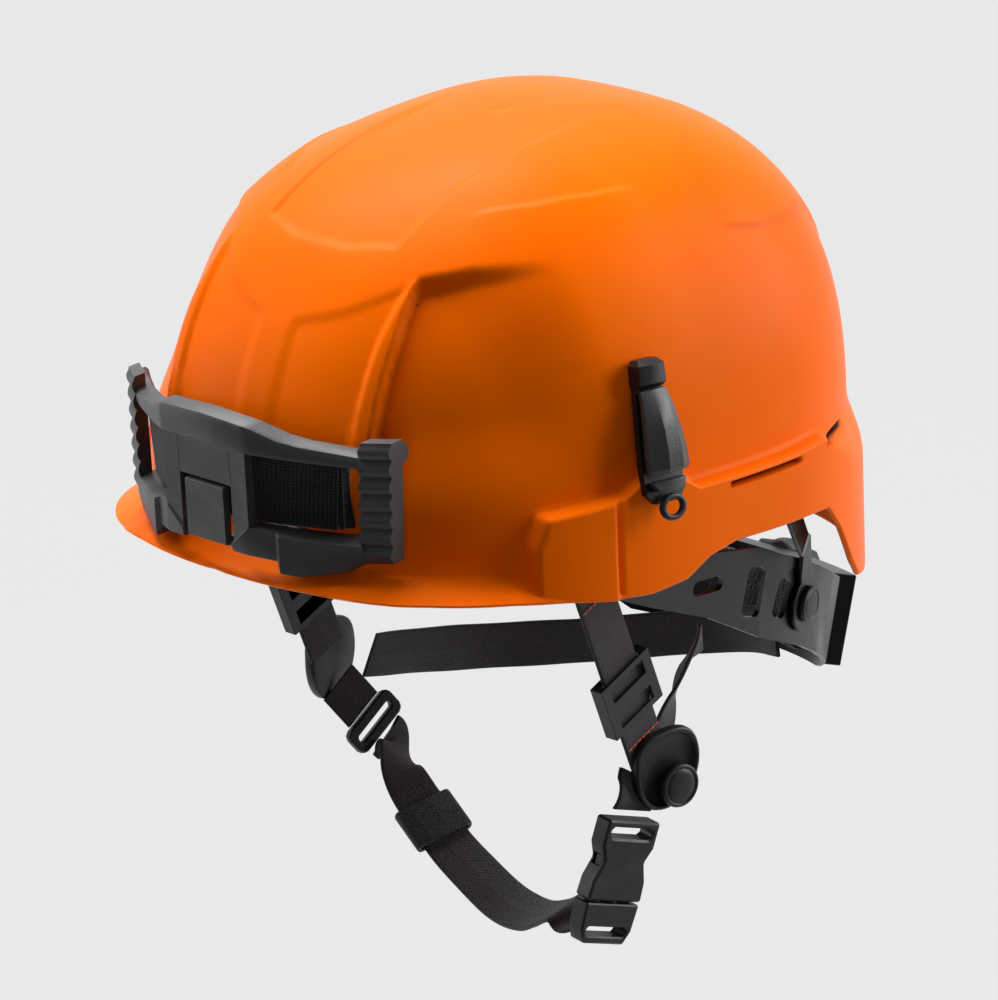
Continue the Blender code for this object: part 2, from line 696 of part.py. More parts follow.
def shell_front(x, level):
    """Y of the shell's front surface at x and level."""
    angles = np.linspace(0, 60, 241)
    points = shell_points(angles, np.full_like(angles, level), 0.0)
    return float(np.interp(abs(x), points[:, 0], points[:, 1]))


def bar(name, stations, paint):
    """A bar laid along X: at each x its front, back, lower and upper limits."""
    rings = []
    for x, front, back, low, high in stations:
        rings.append([(x, front, low), (x, back, low), (x, back, high), (x, front, high)])
    return loft(name, rings, paint)


def lamp_top(x):
    """Level of the bracket's upper edge: raised over the middle plate."""
    return float(np.interp(abs(x), (0.0, 0.023, 0.030, 0.057, 0.068),
                           (0.0855, 0.0845, 0.0785, 0.0735, 0.0765)))


def make_lamp_bracket():
    stations = []
    for x in (-0.058, -0.050, -0.040, -0.030, -0.023, -0.010, 0.010, 0.023, 0.030, 0.040, 0.050, 0.058):
        high = lamp_top(x)
        low = max(high - 0.0085, LAMP_FLOOR + 0.013 + ELASTIC_WIDTH + 0.0012)
        back = min(lamp_front(x) + 0.014, shell_front(x, low) - 0.0015)
        stations.append((x, lamp_front(x), back, low, high))
    bracket = bar("lamp_bracket", stations, GREY)
    half = LAMP_PLATE_HALF
    middle = bar("middle_plate", [(x, LAMP_PLATE_FRONT, LAMP_PLATE_FRONT + 0.0045, 0.0285, 0.0800)
                                  for x in (-half - 0.0005, half + 0.0005)], GREY)
    cut(bracket, middle, "UNION")
    for side, sign in (("left", 1), ("right", -1)):
        low = [(sign * x, lamp_front(x) - 0.002, min(lamp_front(x) + 0.009, shell_front(x, 0.030) - 0.0032),
                LAMP_FLOOR + rise, LAMP_FLOOR + 0.0124 + 0.5 * max(rise - 0.004, 0))
               for x, rise in ((0.018, 0.004), (0.034, 0.0), (0.048, 0.003), (0.060, 0.006))]
        cut(bracket, bar(f"lower_bar_{side}", low[::sign], GREY), "UNION")
        end = [(sign * x, lamp_front(x) - 0.001, shell_front(x, 0.030) - 0.0022, 0.029, lamp_top(x) + 0.0008)
               for x in (0.0565, 0.0625, 0.068)]
        cut(bracket, bar(f"grip_{side}", end[::sign], GREY), "UNION")
    gap = LATCH_HALF + LATCH_SLOT
    slot = bar("latch_slot", [(x, -0.2, -0.15, 0.0, LATCH_TOP + 0.0004) for x in (-gap, gap)], GREY)
    cut(bracket, slot)
    front = LAMP_PLATE_FRONT
    latch = [(x, front, front + 0.0028, 0.0285, LATCH_TOP) for x in (-LATCH_HALF, LATCH_HALF)]
    round_edges(bar("lamp_latch", latch, GREY), 0.0004)
    make_lamp_strap()


def make_lamp_strap():
    """The wide elastic that crosses behind the middle plate and folds back at each end."""
    low = LAMP_FLOOR + 0.013
    stations = []
    for x in (-0.046, -0.034, -0.022, -0.010, 0.010, 0.022, 0.034, 0.046):
        front = lamp_front(x) + 0.0052 - 0.065 * max(abs(x) - 0.022, 0) - 0.0004
        stations.append((x, front, front + ELASTIC_THICKNESS, low, low + ELASTIC_WIDTH))
    return bar("lamp_strap", stations, ELASTIC)


# ---------------------------------------------------------------- side clips
def side_clip(side, sign):
    """A base on the shell, a faceted lever hinged at its foot, the pin, and a ring below it."""
    here = Vector(shell_points(np.array(sign * CLIP_ANGLE), np.array(CLIP_LEVEL), 0.0))
    above = Vector(shell_points(np.array(sign * CLIP_ANGLE), np.array(CLIP_LEVEL + 0.02), 0.0))
    beside = Vector(shell_points(np.array(sign * CLIP_ANGLE + 4), np.array(CLIP_LEVEL), 0.0))
    up = (above - here).normalized()
    out = (beside - here).cross(up).normalized()
    if out.x * sign < 0:
        out = -out
    place = basis(here, out, up)
    base = plate(f"clip_base_{side}", clip_outline(CLIP_WIDTH, CLIP_HEIGHT, 0.0), 0.0036,
                 place @ Matrix.Translation((CLIP_LIFT, 0, 0)) @ CLIP_FACE, BLACK, 0.0006)
    for y, name in ((CLIP_HEIGHT / 2 - 0.003, "hook"), (-CLIP_HEIGHT / 2 + 0.005, "foot")):
        ear = block(f"clip_{name}_{side}", (0.011, 0.007, CLIP_WIDTH * 0.62),
                    place @ Matrix.Translation((CLIP_LIFT + 0.0036, y, 0)), BLACK)
        cut(base, ear, "UNION")
    return place


def clip_outline(width, height, taper):
    """A shield outline in the plate's own plane, its height along Y and its width along X."""
    w = width / 2
    h = height / 2
    left = [(-w * (1 - taper), h), (-w, h * 0.2), (-w, -h * 0.7), (-w * 0.6, -h)]
    return left + [(-x, y) for x, y in left[::-1]]


def make_side_clips():
    for side, sign in (("left", 1), ("right", -1)):
        place = side_clip(side, sign)
        plate(f"clip_lever_{side}", clip_outline(CLIP_WIDTH * 0.98, CLIP_HEIGHT * 0.62, 0.25), 0.0046,
              place @ Matrix.Translation((CLIP_LIFT + 0.0048, 0.001, 0)) @ CLIP_FACE, BLACK, 0.0008)


# ---------------------------------------------------------------- harness
def smooth_path(points, steps):
    """A Catmull-Rom curve through the points, with the given steps in each span."""
    points = [Vector(p) for p in points]
    ends = [points[0] * 2 - points[1]] + points + [points[-1] * 2 - points[-2]]
    made = []
    for a, b, c, d in zip(ends, ends[1:], ends[2:], ends[3:]):
        for k in range(steps):
            t = k / steps
            made.append(0.5 * (2 * b + (c - a) * t + (2 * a - 5 * b + 4 * c - d) * t * t
                               + (3 * b - a - 3 * c + d) * t ** 3))
    made.append(points[-1])
    return made


def ribbon(name, points, faces, steps=4, width=WEBBING, thickness=WEBBING_THICKNESS, paint=WEB):
    """Webbing along a path. Each point has the direction that the strap's flat face looks in."""
    path = smooth_path(points, steps)
    looks = smooth_path(faces, steps)
    rings = []
    for i, (point, look) in enumerate(zip(path, looks)):
        along = (path[min(i + 1, len(path) - 1)] - path[max(i - 1, 0)]).normalized()
        across = along.cross(look).normalized()
        normal = across.cross(along).normalized()
        rings.append(rectangle(point, across, normal, width, thickness))
    return loft(name, rings, paint)


STRAP_TOP = Vector((STRAP_PLANE, -0.056, 0.008))
STRAP_FOOT = Vector((STRAP_PLANE, -0.0235, -0.084))
GLIDE_SHARE = 0.68             # the glide sits this far down the front strap
DIVIDER = Vector((DIVIDER_PLANE, -0.019, -0.091))


def mirrored(point, sign):
    return Vector((point.x * sign, point.y, point.z))


def ring_plate(name, outer, holes, thickness, place, paint, bevel=0.0006):
    """A flat plate with rounded holes: each hole is centre x, y, width, height."""
    made = plate(name, outer, thickness, place, paint)
    for number, (x, y, width, height) in enumerate(holes):
        outline = rounded(width, height, min(width, height) * 0.35, 2)
        seat = place @ Matrix.Translation((x, y, 0))
        cutter = plate(f"{name}_hole_{number}", outline, thickness * 3, seat, paint)
        cut(made, cutter)
    if bevel:
        round_edges(made, bevel)
    return made


def make_front_straps():
    for side, sign in (("left", 1), ("right", -1)):
        top = mirrored(STRAP_TOP, sign)
        low = mirrored(STRAP_FOOT, sign)
        look = Vector((sign, 0, 0))
        ribbon(f"front_strap_{side}", [top, top.lerp(low, 0.5), low], [look] * 3, 3)
        along = (low - top).normalized()
        anchor = basis(top - along * 0.006, look, -along)
        block(f"strap_anchor_{side}", (0.004, 0.010, 0.026), anchor, BLACK, 0.0006)
        across = basis(top.lerp(low, GLIDE_SHARE), along.cross(look), along)
        sleeve(f"strap_glide_{side}", across, (0.029, 0.024, 0.0058), GREY, (-0.0062, 0.0062))


def make_dividers():
    """Side dividers where three straps meet, each with a round locking cap."""
    for side, sign in (("left", 1), ("right", -1)):
        centre = mirrored(DIVIDER, sign)
        place = basis(centre, (0, 1 * sign, 0), (0, 0, 1))
        outline = [(-0.014, 0.009), (-0.006, 0.0155), (0.008, 0.016), (0.016, 0.010), (0.017, 0.001),
                   (0.011, -0.011), (0.003, -0.016), (-0.007, -0.0145), (-0.014, -0.006)]
        outline = [(x * sign, y) for x, y in outline]
        if sign < 0:
            outline.reverse()
        plate(f"divider_{side}", outline, 0.0040, place, GREY, 0.0008)
        cap = centre + Vector((sign * 0.0046, 0.004, -0.007))
        disc(f"divider_cap_{side}", 0.0085, 0.0030, basis(cap, (0, 1, 0), (0, 0, 1)), GREY, 32, 0.0005)


def make_rear_strap():
    """One strap from the left divider up to the cradle's foot, and one round the neck to the right."""
    ribbon("rear_strap_left", [(REAR_PLANE, -0.0112, -0.0790), (0.0822, -0.0031, -0.0660),
                               (0.0800, 0.0069, -0.0570), (0.0765, 0.0200, -0.0525)],
           [Vector((1, -0.2, -0.5)), Vector((0.75, -0.1, -0.9)), Vector((0.8, 0, -0.8)),
            Vector((1, 0, -0.2))], 4, 0.014)
    ribbon("rear_strap_right", [(-0.0812, -0.0030, -0.0930), (-0.0800, 0.0250, -0.1003),
                                (-0.0735, 0.0535, -0.1068), (-0.0600, 0.0755, -0.1095),
                                (-0.0440, 0.0948, -0.1105), (-0.0260, 0.1120, -0.1095),
                                (-0.0040, 0.1225, -0.1055), (0.0180, 0.1205, -0.0990),
                                (0.0360, 0.1130, -0.0935)],
           [Vector((-1, 0, 0.25)), Vector((-1, 0.1, 0.1)), Vector((-0.9, 0.4, 0)), Vector((-0.75, 0.65, 0)),
            Vector((-0.7, 0.75, 0)), Vector((-0.45, 0.9, 0)), Vector((0, 1, 0)), Vector((0.3, 1, 0)),
            Vector((0.5, 0.9, 0))], 3)


BUCKLE_TOP = Vector((0.0846, -0.0345, -0.1075))
BUCKLE_FOOT = Vector((0.0808, -0.0515, -0.1530))


def buckle_frame():
    """Placing matrix of the buckle: Y along it towards its upper end, Z out of its face."""
    along = (BUCKLE_TOP - BUCKLE_FOOT).normalized()
    across = along.cross(Vector((1, -0.15, 0))).normalized()
    return basis(BUCKLE_TOP.lerp(BUCKLE_FOOT, 0.5), across, along)


def make_buckle():
    place = buckle_frame()
    side = [(0.0135, 0.0245), (0.0135, 0.0140), (0.0105, 0.0080), (0.0135, 0.0000), (0.0140, -0.0080)]
    outline = [(-x, y) for x, y in reversed(side)] + side
    slot = (0, 0.0195, 0.0212, 0.0045)
    female = ring_plate("buckle_female", outline[::-1], [slot], 0.0085, place, GREY, 0.0009)
    room = block("prong_room", (0.0230, 0.0240, 0.0052), place @ Matrix.Translation((0, -0.0005, 0)), GREY)
    cut(female, room)
    make_prongs(place)


def make_prongs(place):
    """The male half: a ladder bar below and three prongs that slide up into the female half."""
    side = [(0.0138, -0.0090), (0.0132, -0.0200), (0.0105, -0.0255)]
    outline = [(-x, y) for x, y in side[::-1]] + side
    slot = (0, -0.0205, 0.0205, 0.0038)
    male = ring_plate("buckle_male", outline[::-1], [slot], 0.0082, place, GREY, 0.0009)
    for number, x in enumerate((-0.0085, 0.0, 0.0085)):
        at = place @ Matrix.Translation((x, -0.0015, 0))
        cut(male, block(f"prong_{number}", (0.0034, 0.0220, 0.0036), at, GREY), "UNION")


def make_chin():
    """The short buckle strap, the chin strap with its keeper, and the adjuster under the right divider."""
    place = buckle_frame()
    across = place.to_3x3() @ Vector((0, 0, 1))
    top = place @ Vector((0, 0.0280, 0))
    foot = Vector((0.0810, -0.0265, -0.0925))
    bend = foot.lerp(place @ Vector((0, 0.0330, 0)), 0.5) - Vector((0.001, 0, 0))
    ribbon("buckle_strap", [foot, bend, place @ Vector((0, 0.0330, 0)), top],
           [Vector((1, 0, 0))] * 3 + [across], 2)
    top = mirrored(DIVIDER, -1) + Vector((0.0035, 0.0010, -0.0100))
    low = Vector((-0.0770, -0.0075, -0.1197))
    slope = (low - top).normalized()
    route = [place @ Vector((0, -0.0190, -0.0078)), place @ Vector((0, -0.0212, -0.0130)),
             (0.0615, -0.0470, -0.1474), (0.0494, -0.0420, -0.1551), (0.0362, -0.0370, -0.1623),
             (0.0201, -0.0300, -0.1672), (0.0045, -0.0240, CHIN_LEVEL), (-0.0143, -0.0180, -0.1652),
             (-0.0301, -0.0140, -0.1602), (-0.0423, -0.0115, -0.1528), (-0.0545, -0.0090, -0.1454),
             (-0.0637, -0.0070, -0.1364), low + slope * 0.0125, low + slope * 0.0085]
    looks = [(0.57, 0.13, -0.81), (0.57, 0.13, -0.81), (0.57, 0.13, -0.81), (0.50, 0.15, -0.85),
             (0.15, 0.30, -0.90), (-0.25, 0.45, -0.80), (-0.50, 0.50, -0.68), (-0.60, 0.45, -0.60),
             (-0.72, 0.40, -0.55), (-0.76, 0.36, -0.52), (-0.80, 0.30, -0.46), (-0.95, 0.10, -0.20),
             (-1, 0, 0), (-1, 0, 0)]
    ribbon("chin_strap", route, looks, 3)
    make_keeper(Vector(route[8]), Vector(route[10]), looks[9])
    ribbon("chin_link", [top, top.lerp(low, 0.5), low - slope * 0.0070], [Vector((-1, 0, 0))] * 3, 2)
    adjuster = basis(low, slope.cross(Vector((-1, 0, 0))), slope)
    slot = (0, 0, 0.0212, 0.0030)
    ring_plate("chin_adjuster", rounded(0.028, 0.012, 0.003, 2), [slot], 0.0036, adjuster, GREY)


def sleeve(name, place, size, paint, windows=()):
    """A flat sleeve round a strap, with crosswise windows in its outer face."""
    made = block(name, size, place, paint)
    room = block(f"{name}_room", (WEBBING + 0.0016, size[1] * 2, WEBBING_THICKNESS + 0.0022), place, paint)
    cut(made, room)
    for number, y in enumerate(windows):
        for face in (1, -1):
            opening = block(f"{name}_window_{number}_{face}", (WEBBING - 0.0004, 0.0062, size[2]),
                            place @ Matrix.Translation((0, y, face * size[2] / 2)), paint)
            cut(made, opening)
    return made


def make_keeper(start, end, look):
    """A plain sleeve that slides on a straight stretch of the chin strap."""
    along = (end - start).normalized()
    across = along.cross(Vector(look)).normalized()
    place = basis(start.lerp(end, 0.5), across, along)
    sleeve("strap_keeper", place, (WEBBING + 0.0046, 0.016, WEBBING_THICKNESS + 0.0046), BLACK)


make_shell()
make_liner()
make_crown_pad()
make_headband()
make_headband_clips()
make_cradle()
make_ratchet()
make_hangers()
make_lamp_bracket()
make_side_clips()
make_front_straps()
make_dividers()
make_rear_strap()
make_buckle()
make_chin()
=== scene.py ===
"""Looks of a climbing-style safety helmet: the orange shell with its moulded creases, the lamp bracket,
the woven harness and every plastic fitting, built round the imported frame. Metres, +Z up, the wearer
looks along -Y and the wearer's left is +X."""

import json
import math

import bmesh
import bpy
import numpy as np
from mathutils import Matrix, Vector


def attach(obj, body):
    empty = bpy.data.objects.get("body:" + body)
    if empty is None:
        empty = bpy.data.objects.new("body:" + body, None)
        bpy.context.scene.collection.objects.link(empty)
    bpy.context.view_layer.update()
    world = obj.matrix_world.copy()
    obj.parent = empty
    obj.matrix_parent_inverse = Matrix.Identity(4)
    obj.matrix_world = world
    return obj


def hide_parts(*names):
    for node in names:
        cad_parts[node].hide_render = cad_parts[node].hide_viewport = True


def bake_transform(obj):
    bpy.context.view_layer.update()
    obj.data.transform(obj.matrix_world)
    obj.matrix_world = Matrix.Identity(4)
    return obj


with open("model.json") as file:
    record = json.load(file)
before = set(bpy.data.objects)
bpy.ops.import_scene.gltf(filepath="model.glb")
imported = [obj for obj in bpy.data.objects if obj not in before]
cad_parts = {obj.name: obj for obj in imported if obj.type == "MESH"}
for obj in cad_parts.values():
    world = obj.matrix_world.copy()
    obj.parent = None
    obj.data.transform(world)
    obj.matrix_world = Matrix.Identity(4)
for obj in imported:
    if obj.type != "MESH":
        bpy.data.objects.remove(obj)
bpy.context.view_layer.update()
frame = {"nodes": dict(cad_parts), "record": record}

# ---------------------------------------------------------------- shell dimensions
SHELL_HALF_WIDTH = 0.1118
SHELL_FRONT = 0.1465
SHELL_REAR = 0.1335
CROWN_HEIGHT = 0.134
WIDEST_LEVEL = 0.020
PLAN_POWER = 2.54
PROFILE_POWER = 2.54
CROWN_SHIFT = 0.019
SHELL_WALL = 0.0026
BAND_DEPTH = 0.006
BAND_START = 44.5
POCKET_END = 58.8
LINER_THICKNESS = 0.018
LINER_RIM = 0.032
LINER_GAP = 0.0010
SLIT_SPANS = ((86.5, 107.5), (117.0, 128.5))
SLIT_DROP = 0.0030
SLIT_HEIGHT = 0.0022
RIM_LINE = ((0, 0.020), (15, 0.019), (30, 0.0155), (41, 0.0115), (58, 0.0025), (66, 0.0), (74, 0.0005),
            (80, 0.0058), (88, 0.0072), (111, 0.0015), (117, -0.0005), (121.5, -0.0125), (127, -0.032),
            (131, -0.0415), (137, -0.0455), (180, -0.046))
BAND_LINE = ((0, 0.041), (61, 0.041), (65, 0.045), (71, 0.045), (78, 0.035), (107, 0.030), (135, 0.027),
             (180, 0.027))
BRIM_LINE = ((0, 0.0185), (26, 0.0160), (41, 0.0105), (50, 0.007), (58, 0.006), (180, 0.006))

WEBBING = 0.020
WEBBING_THICKNESS = 0.0016

LAMP_PLATE_FRONT = -0.1665
LAMP_PLATE_HALF = 0.020
LAMP_HALF_WIDTH = 0.068
LAMP_END_FRONT = -0.1365
ELASTIC_THICKNESS = 0.0030
RIDGES = 7
CLIP_ANGLE = 68.0
CLIP_LEVEL = 0.062

# camera: direction and distance from the aiming point
VIEW_AZIMUTH = 43.0
VIEW_ELEVATION = 20.0
VIEW_DISTANCE = 2.2
VIEW_ROLL = -2.585
VIEW_TARGET = Vector((0, 0, 0.070))
VIEW_OFFSET = (0.00296, 0.0713)
VIEW_LENS = 205.03


# ---------------------------------------------------------------- shader maths
class Field:
    """One number of a shader tree. Sums, products and the methods below add Math nodes."""

    def __init__(self, finish, socket):
        self.finish = finish
        self.socket = socket

    def maths(self, operation, *others):
        made = self.finish.node("Math", {"operation": operation}, dict(enumerate((self, *others))))
        return Field(self.finish, made.outputs[0])

    def __add__(self, other):
        return self.maths("ADD", other)

    def __mul__(self, other):
        return self.maths("MULTIPLY", other)

    def __sub__(self, other):
        return self.maths("SUBTRACT", other)

    def __rsub__(self, other):
        return self * -1.0 + other

    def __truediv__(self, other):
        return self.maths("DIVIDE", other)

    __radd__ = __add__
    __rmul__ = __mul__

    def sine(self):
        return self.maths("SINE")

    def size(self):
        return self.maths("ABSOLUTE")

    def between(self, low, high):
        """0 below low, 1 above high, smooth in between."""
        made = self.finish.node("MapRange", {"interpolation_type": "SMOOTHSTEP"},
                                {"Value": self, "From Min": low, "From Max": high})
        return Field(self.finish, made.outputs[0])


class Finish:
    """A material: a principled shader and one method that adds any other node."""

    def __init__(self, name, colour, roughness, **fixed):
        self.material = bpy.data.materials.new(name)
        self.material.use_nodes = True
        self.tree = self.material.node_tree
        self.shader = self.tree.nodes["Principled BSDF"]
        self.put(self.shader, "Base Color", colour)
        self.put(self.shader, "Roughness", roughness)
        for socket, value in fixed.items():
            self.put(self.shader, socket.replace("_", " "), value)

    def put(self, node, socket, value):
        """Links a Field or a socket, or sets a plain value. Three numbers make a colour."""
        target = node.inputs[socket]
        if isinstance(value, Field):
            value = value.socket
        if isinstance(value, bpy.types.NodeSocket):
            self.tree.links.new(value, target)
        elif isinstance(value, tuple) and target.type == "RGBA":
            target.default_value = (*value, 1.0)
        else:
            target.default_value = value

    def node(self, kind, settings=None, sockets=None):
        made = self.tree.nodes.new("ShaderNode" + kind)
        for setting, value in (settings or {}).items():
            setattr(made, setting, value)
        for socket, value in (sockets or {}).items():
            self.put(made, socket, value)
        return made

    def place(self, source="Object", scale=(1.0, 1.0, 1.0)):
        """Object or UV coordinates, scaled, as a vector socket."""
        origin = self.node("TexCoord").outputs[source]
        return self.node("Mapping", {}, {"Vector": origin, "Scale": scale}).outputs[0]

    def axes(self, source="Object"):
        made = self.node("SeparateXYZ", {}, {0: self.node("TexCoord").outputs[source]})
        return [Field(self, socket) for socket in made.outputs]

    def noise(self, scale, detail=2.0, place=None):
        made = self.node("TexNoise", {}, {"Scale": scale, "Detail": detail,
                                          "Vector": place or self.place()})
        return Field(self, made.outputs[0])

    def cells(self, scale, place=None):
        made = self.node("TexVoronoi", {}, {"Scale": scale, "Vector": place or self.place()})
        return Field(self, made.outputs[0])

    def attribute(self, name):
        return Field(self, self.node("Attribute", {"attribute_name": name}).outputs["Fac"])

    def blend(self, share, first, second):
        """The first colour where share is 0, the second where it is 1."""
        made = self.node("Mix", {"data_type": "RGBA"})
        self.put(made, 0, share)
        self.put(made, 6, first)
        self.put(made, 7, second)
        return made.outputs[2]

    def paint(self, colour):
        self.put(self.shader, "Base Color", colour)

    def rough(self, value):
        self.put(self.shader, "Roughness", value)

    def bump(self, height, depth, strength=1.0):
        made = self.node("Bump", {}, {"Height": height, "Distance": depth, "Strength": strength})
        self.put(self.shader, "Normal", made.outputs[0])


# ---------------------------------------------------------------- finishes
def shell_finish():
    """Glossy moulded orange plastic: a faint orange peel, soft flow marks, fine scuffs, and slits painted
    near-black as painted shade.
    """
    made = Finish("orange_shell", (1.0, 0.15, 0.0), 0.32, Specular_IOR_Level=0.30, IOR=1.22)
    made.put(made.shader, "Specular Tint", (1.0, 0.30, 0.0))
    flow = made.noise(9.0, 3.0)
    tone = made.blend(flow.between(0.35, 0.65), (0.95, 0.135, 0.0), (1.0, 0.152, 0.0))
    # painted shade: where the slit mask is 1 the base colour turns near-black, standing in for the shadow
    # inside the slots
    made.paint(made.blend(made.attribute("slit_and_painted_shade"), tone, (0.012, 0.006, 0.004)))
    scuff = made.noise(70.0, 4.0, made.place(scale=(1.0, 1.0, 6.0)))
    made.rough(0.33 + flow * 0.05 + scuff.between(0.62, 0.75) * 0.08)
    made.bump(made.noise(750.0, 1.0) * 0.6 + made.noise(240.0, 2.0) * 0.4, 0.00005, 0.5)
    return made.material


def plastic_finish(name, colour, worn, roughness, grain=1500.0, depth=0.00006, shine=0.5):
    """Moulded plastic with a fine spark grain and rubbed, slightly paler patches."""
    made = Finish(name, colour, roughness, Specular_IOR_Level=shine)
    rubbed = made.noise(45.0, 5.0).between(0.48, 0.72)
    made.paint(made.blend(rubbed, colour, worn))
    made.rough(roughness + made.noise(160.0, 3.0) * 0.10 - rubbed * 0.05)
    made.bump(made.cells(grain) + made.noise(grain * 0.6, 2.0), depth, 0.6)
    return made.material


def webbing_finish(name, dark, pale, pitch=0.0011):
    """Woven webbing on the strap's own UV in metres: herringbone ribs that turn at the middle line,
    yarns across them, and a darker band along both edges."""
    made = Finish(name, dark, 0.78, Sheen_Weight=0.25, Sheen_Roughness=0.45, Specular_IOR_Level=0.25)
    across, along, _ = made.axes("UV")
    middle = (across - WEBBING / 2).size()
    rib = ((along + middle * 0.9) * (2 * math.pi / pitch)).sine()
    yarn = (across * (2 * math.pi / 0.00085)).sine()
    weave = rib * 0.5 + yarn * 0.28
    edge = middle.between(WEBBING * 0.445, WEBBING * 0.485)
    share = (weave * 0.5 + 0.5).between(0.1, 0.95)
    fibre = made.noise(900.0, 3.0, made.place("UV"))
    cloth = made.blend(share * 0.8 + fibre * 0.2, dark, pale)
    made.paint(made.blend(edge * 0.55, cloth, tuple(channel * 0.55 for channel in dark)))
    made.rough(0.70 + share * 0.15)
    made.bump(weave + fibre * 0.35, 0.00016, 0.9)
    return made.material


def elastic_finish():
    """Wide black elastic: rows of small knit loops between fine rubber cords."""
    made = Finish("elastic", (0.008, 0.008, 0.009), 0.85, Sheen_Weight=0.2, Specular_IOR_Level=0.2)
    along, across, _ = made.axes("UV")
    cord = (across * (2 * math.pi / 0.0016)).sine()
    loop = ((along + cord * 0.0002) * (2 * math.pi / 0.0011)).sine()
    knit = cord * 0.55 + loop * 0.5
    share = (knit * 0.5 + 0.5).between(0.15, 0.95)
    made.paint(made.blend(share, (0.0035, 0.0035, 0.004), (0.017, 0.017, 0.019)))
    made.rough(0.75 + share * 0.15)
    made.bump(knit, 0.00022, 1.0)
    return made.material


def foam_finish():
    """Moulded bead foam: round beads pressed flat, with dark joints between them."""
    made = Finish("liner_foam", (0.03, 0.03, 0.032), 0.85, Specular_IOR_Level=0.3)
    bead = made.cells(330.0)
    joint = bead.between(0.30, 0.62)
    made.paint(made.blend(joint, (0.040, 0.040, 0.043), (0.014, 0.014, 0.015)))
    made.rough(0.78 + joint * 0.15)
    made.bump(bead * -1.0 + made.noise(60.0, 2.0) * 0.4, 0.0004, 0.7)
    return made.material


def pad_finish():
    """Knitted spacer fabric: a grid of small dimples in slightly fuzzy black cloth."""
    made = Finish("pad_fabric", (0.02, 0.02, 0.022), 0.92, Sheen_Weight=0.35, Specular_IOR_Level=0.15)
    hole = made.cells(520.0)
    share = hole.between(0.18, 0.5)
    fuzz = made.noise(1400.0, 3.0)
    made.paint(made.blend(share * 0.8 + fuzz * 0.2, (0.007, 0.007, 0.008), (0.034, 0.034, 0.037)))
    made.rough(0.85 + fuzz * 0.1)
    made.bump(share + fuzz * 0.3, 0.0004, 0.9)
    return made.material


def steel_finish():
    made = Finish("steel_pin", (0.45, 0.45, 0.46), 0.3, Metallic=1.0)
    brushed = made.noise(400.0, 3.0, made.place(scale=(1.0, 8.0, 1.0)))
    made.rough(0.25 + brushed * 0.2)
    made.paint(made.blend(brushed, (0.38, 0.38, 0.39), (0.52, 0.52, 0.53)))
    return made.material


def thread_finish():
    """Twisted coral sewing thread."""
    made = Finish("red_thread", (0.62, 0.06, 0.05), 0.6, Sheen_Weight=0.3)
    twist = (made.axes()[1] * 9000.0 + made.axes()[2] * 9000.0).sine()
    made.paint(made.blend(twist * 0.5 + 0.5, (0.45, 0.035, 0.03), (0.78, 0.10, 0.075)))
    made.bump(twist, 0.0001)
    return made.material


ORANGE = shell_finish()
GREY = plastic_finish("grey_plastic", (0.048, 0.050, 0.054), (0.066, 0.068, 0.073), 0.42)
DARK = plastic_finish("dark_plastic", (0.013, 0.013, 0.0135), (0.021, 0.021, 0.022), 0.38, shine=0.35)
BLACK = plastic_finish("black_plastic", (0.007, 0.007, 0.0075), (0.012, 0.012, 0.013), 0.36, shine=0.35)
ARM = plastic_finish("clip_plastic", (0.030, 0.031, 0.033), (0.040, 0.041, 0.044), 0.36)
NAPE = plastic_finish("nape_plastic", (0.0035, 0.0035, 0.004), (0.006, 0.006, 0.0065), 0.27, shine=0.40)
WEB = webbing_finish("webbing", (0.014, 0.0115, 0.012), (0.052, 0.044, 0.046))
CUFF = webbing_finish("keeper_weave", (0.014, 0.0125, 0.013), (0.032, 0.029, 0.030), 0.0007)
ELASTIC = elastic_finish()
FOAM = foam_finish()
PAD = pad_finish()
STEEL = steel_finish()
THREAD = thread_finish()


# ---------------------------------------------------------------- surface helpers
def step(low, high, value):
    """0 below low, 1 above high, smooth in between, on arrays."""
    t = np.clip((value - low) / (high - low), 0, 1)
    return t * t * (3 - 2 * t)


def grid_faces(rows, columns, wrap=True, start=0):
    """Quads of a grid whose points are stored row by row."""
    row = np.arange(rows - 1)[:, None]
    column = np.arange(columns if wrap else columns - 1)[None, :]
    beside = (column + 1) % columns
    corners = (row * columns + column, row * columns + beside, (row + 1) * columns + beside,
               (row + 1) * columns + column)
    return np.stack(np.broadcast_arrays(*corners), -1).reshape(-1, 4) + start


def add_mesh(name, points, faces, paint, sharp=40.0, uv=None):
    """Links one mesh object made of points and faces, its faces pointing out."""
    data = bpy.data.meshes.new(name)
    data.from_pydata(np.asarray(points).reshape(-1, 3).tolist(), [], faces)
    mesh = bmesh.new()
    mesh.from_mesh(data)
    bmesh.ops.recalc_face_normals(mesh, faces=mesh.faces)
    mesh.to_mesh(data)
    mesh.free()
    if uv is not None:
        layer = data.uv_layers.new(name="UVMap")
        corner = np.zeros(len(data.loops), np.int32)
        data.loops.foreach_get("vertex_index", corner)
        layer.data.foreach_set("uv", np.asarray(uv, np.float32)[corner].ravel())
    data.materials.append(paint)
    data.shade_smooth()
    data.set_sharp_from_angle(angle=math.radians(sharp))
    made = bpy.data.objects.new(name, data)
    bpy.context.scene.collection.objects.link(made)
    return made


def skin(name, rings, paint, sharp=40.0, uv=None, closed=False):
    """A surface through closed rings of equal length: its two ends are capped, or joined if closed."""
    rings = np.asarray(rings, float)
    rows, columns, _ = rings.shape
    if closed:
        faces = grid_faces(rows + 1, columns) % (rows * columns)
        return add_mesh(name, rings, faces.tolist(), paint, sharp, uv)
    faces = grid_faces(rows, columns).tolist()
    last = (rows - 1) * columns
    faces.append(list(range(columns))[::-1])
    faces.append(list(range(last, last + columns)))
    return add_mesh(name, rings, faces, paint, sharp, uv)


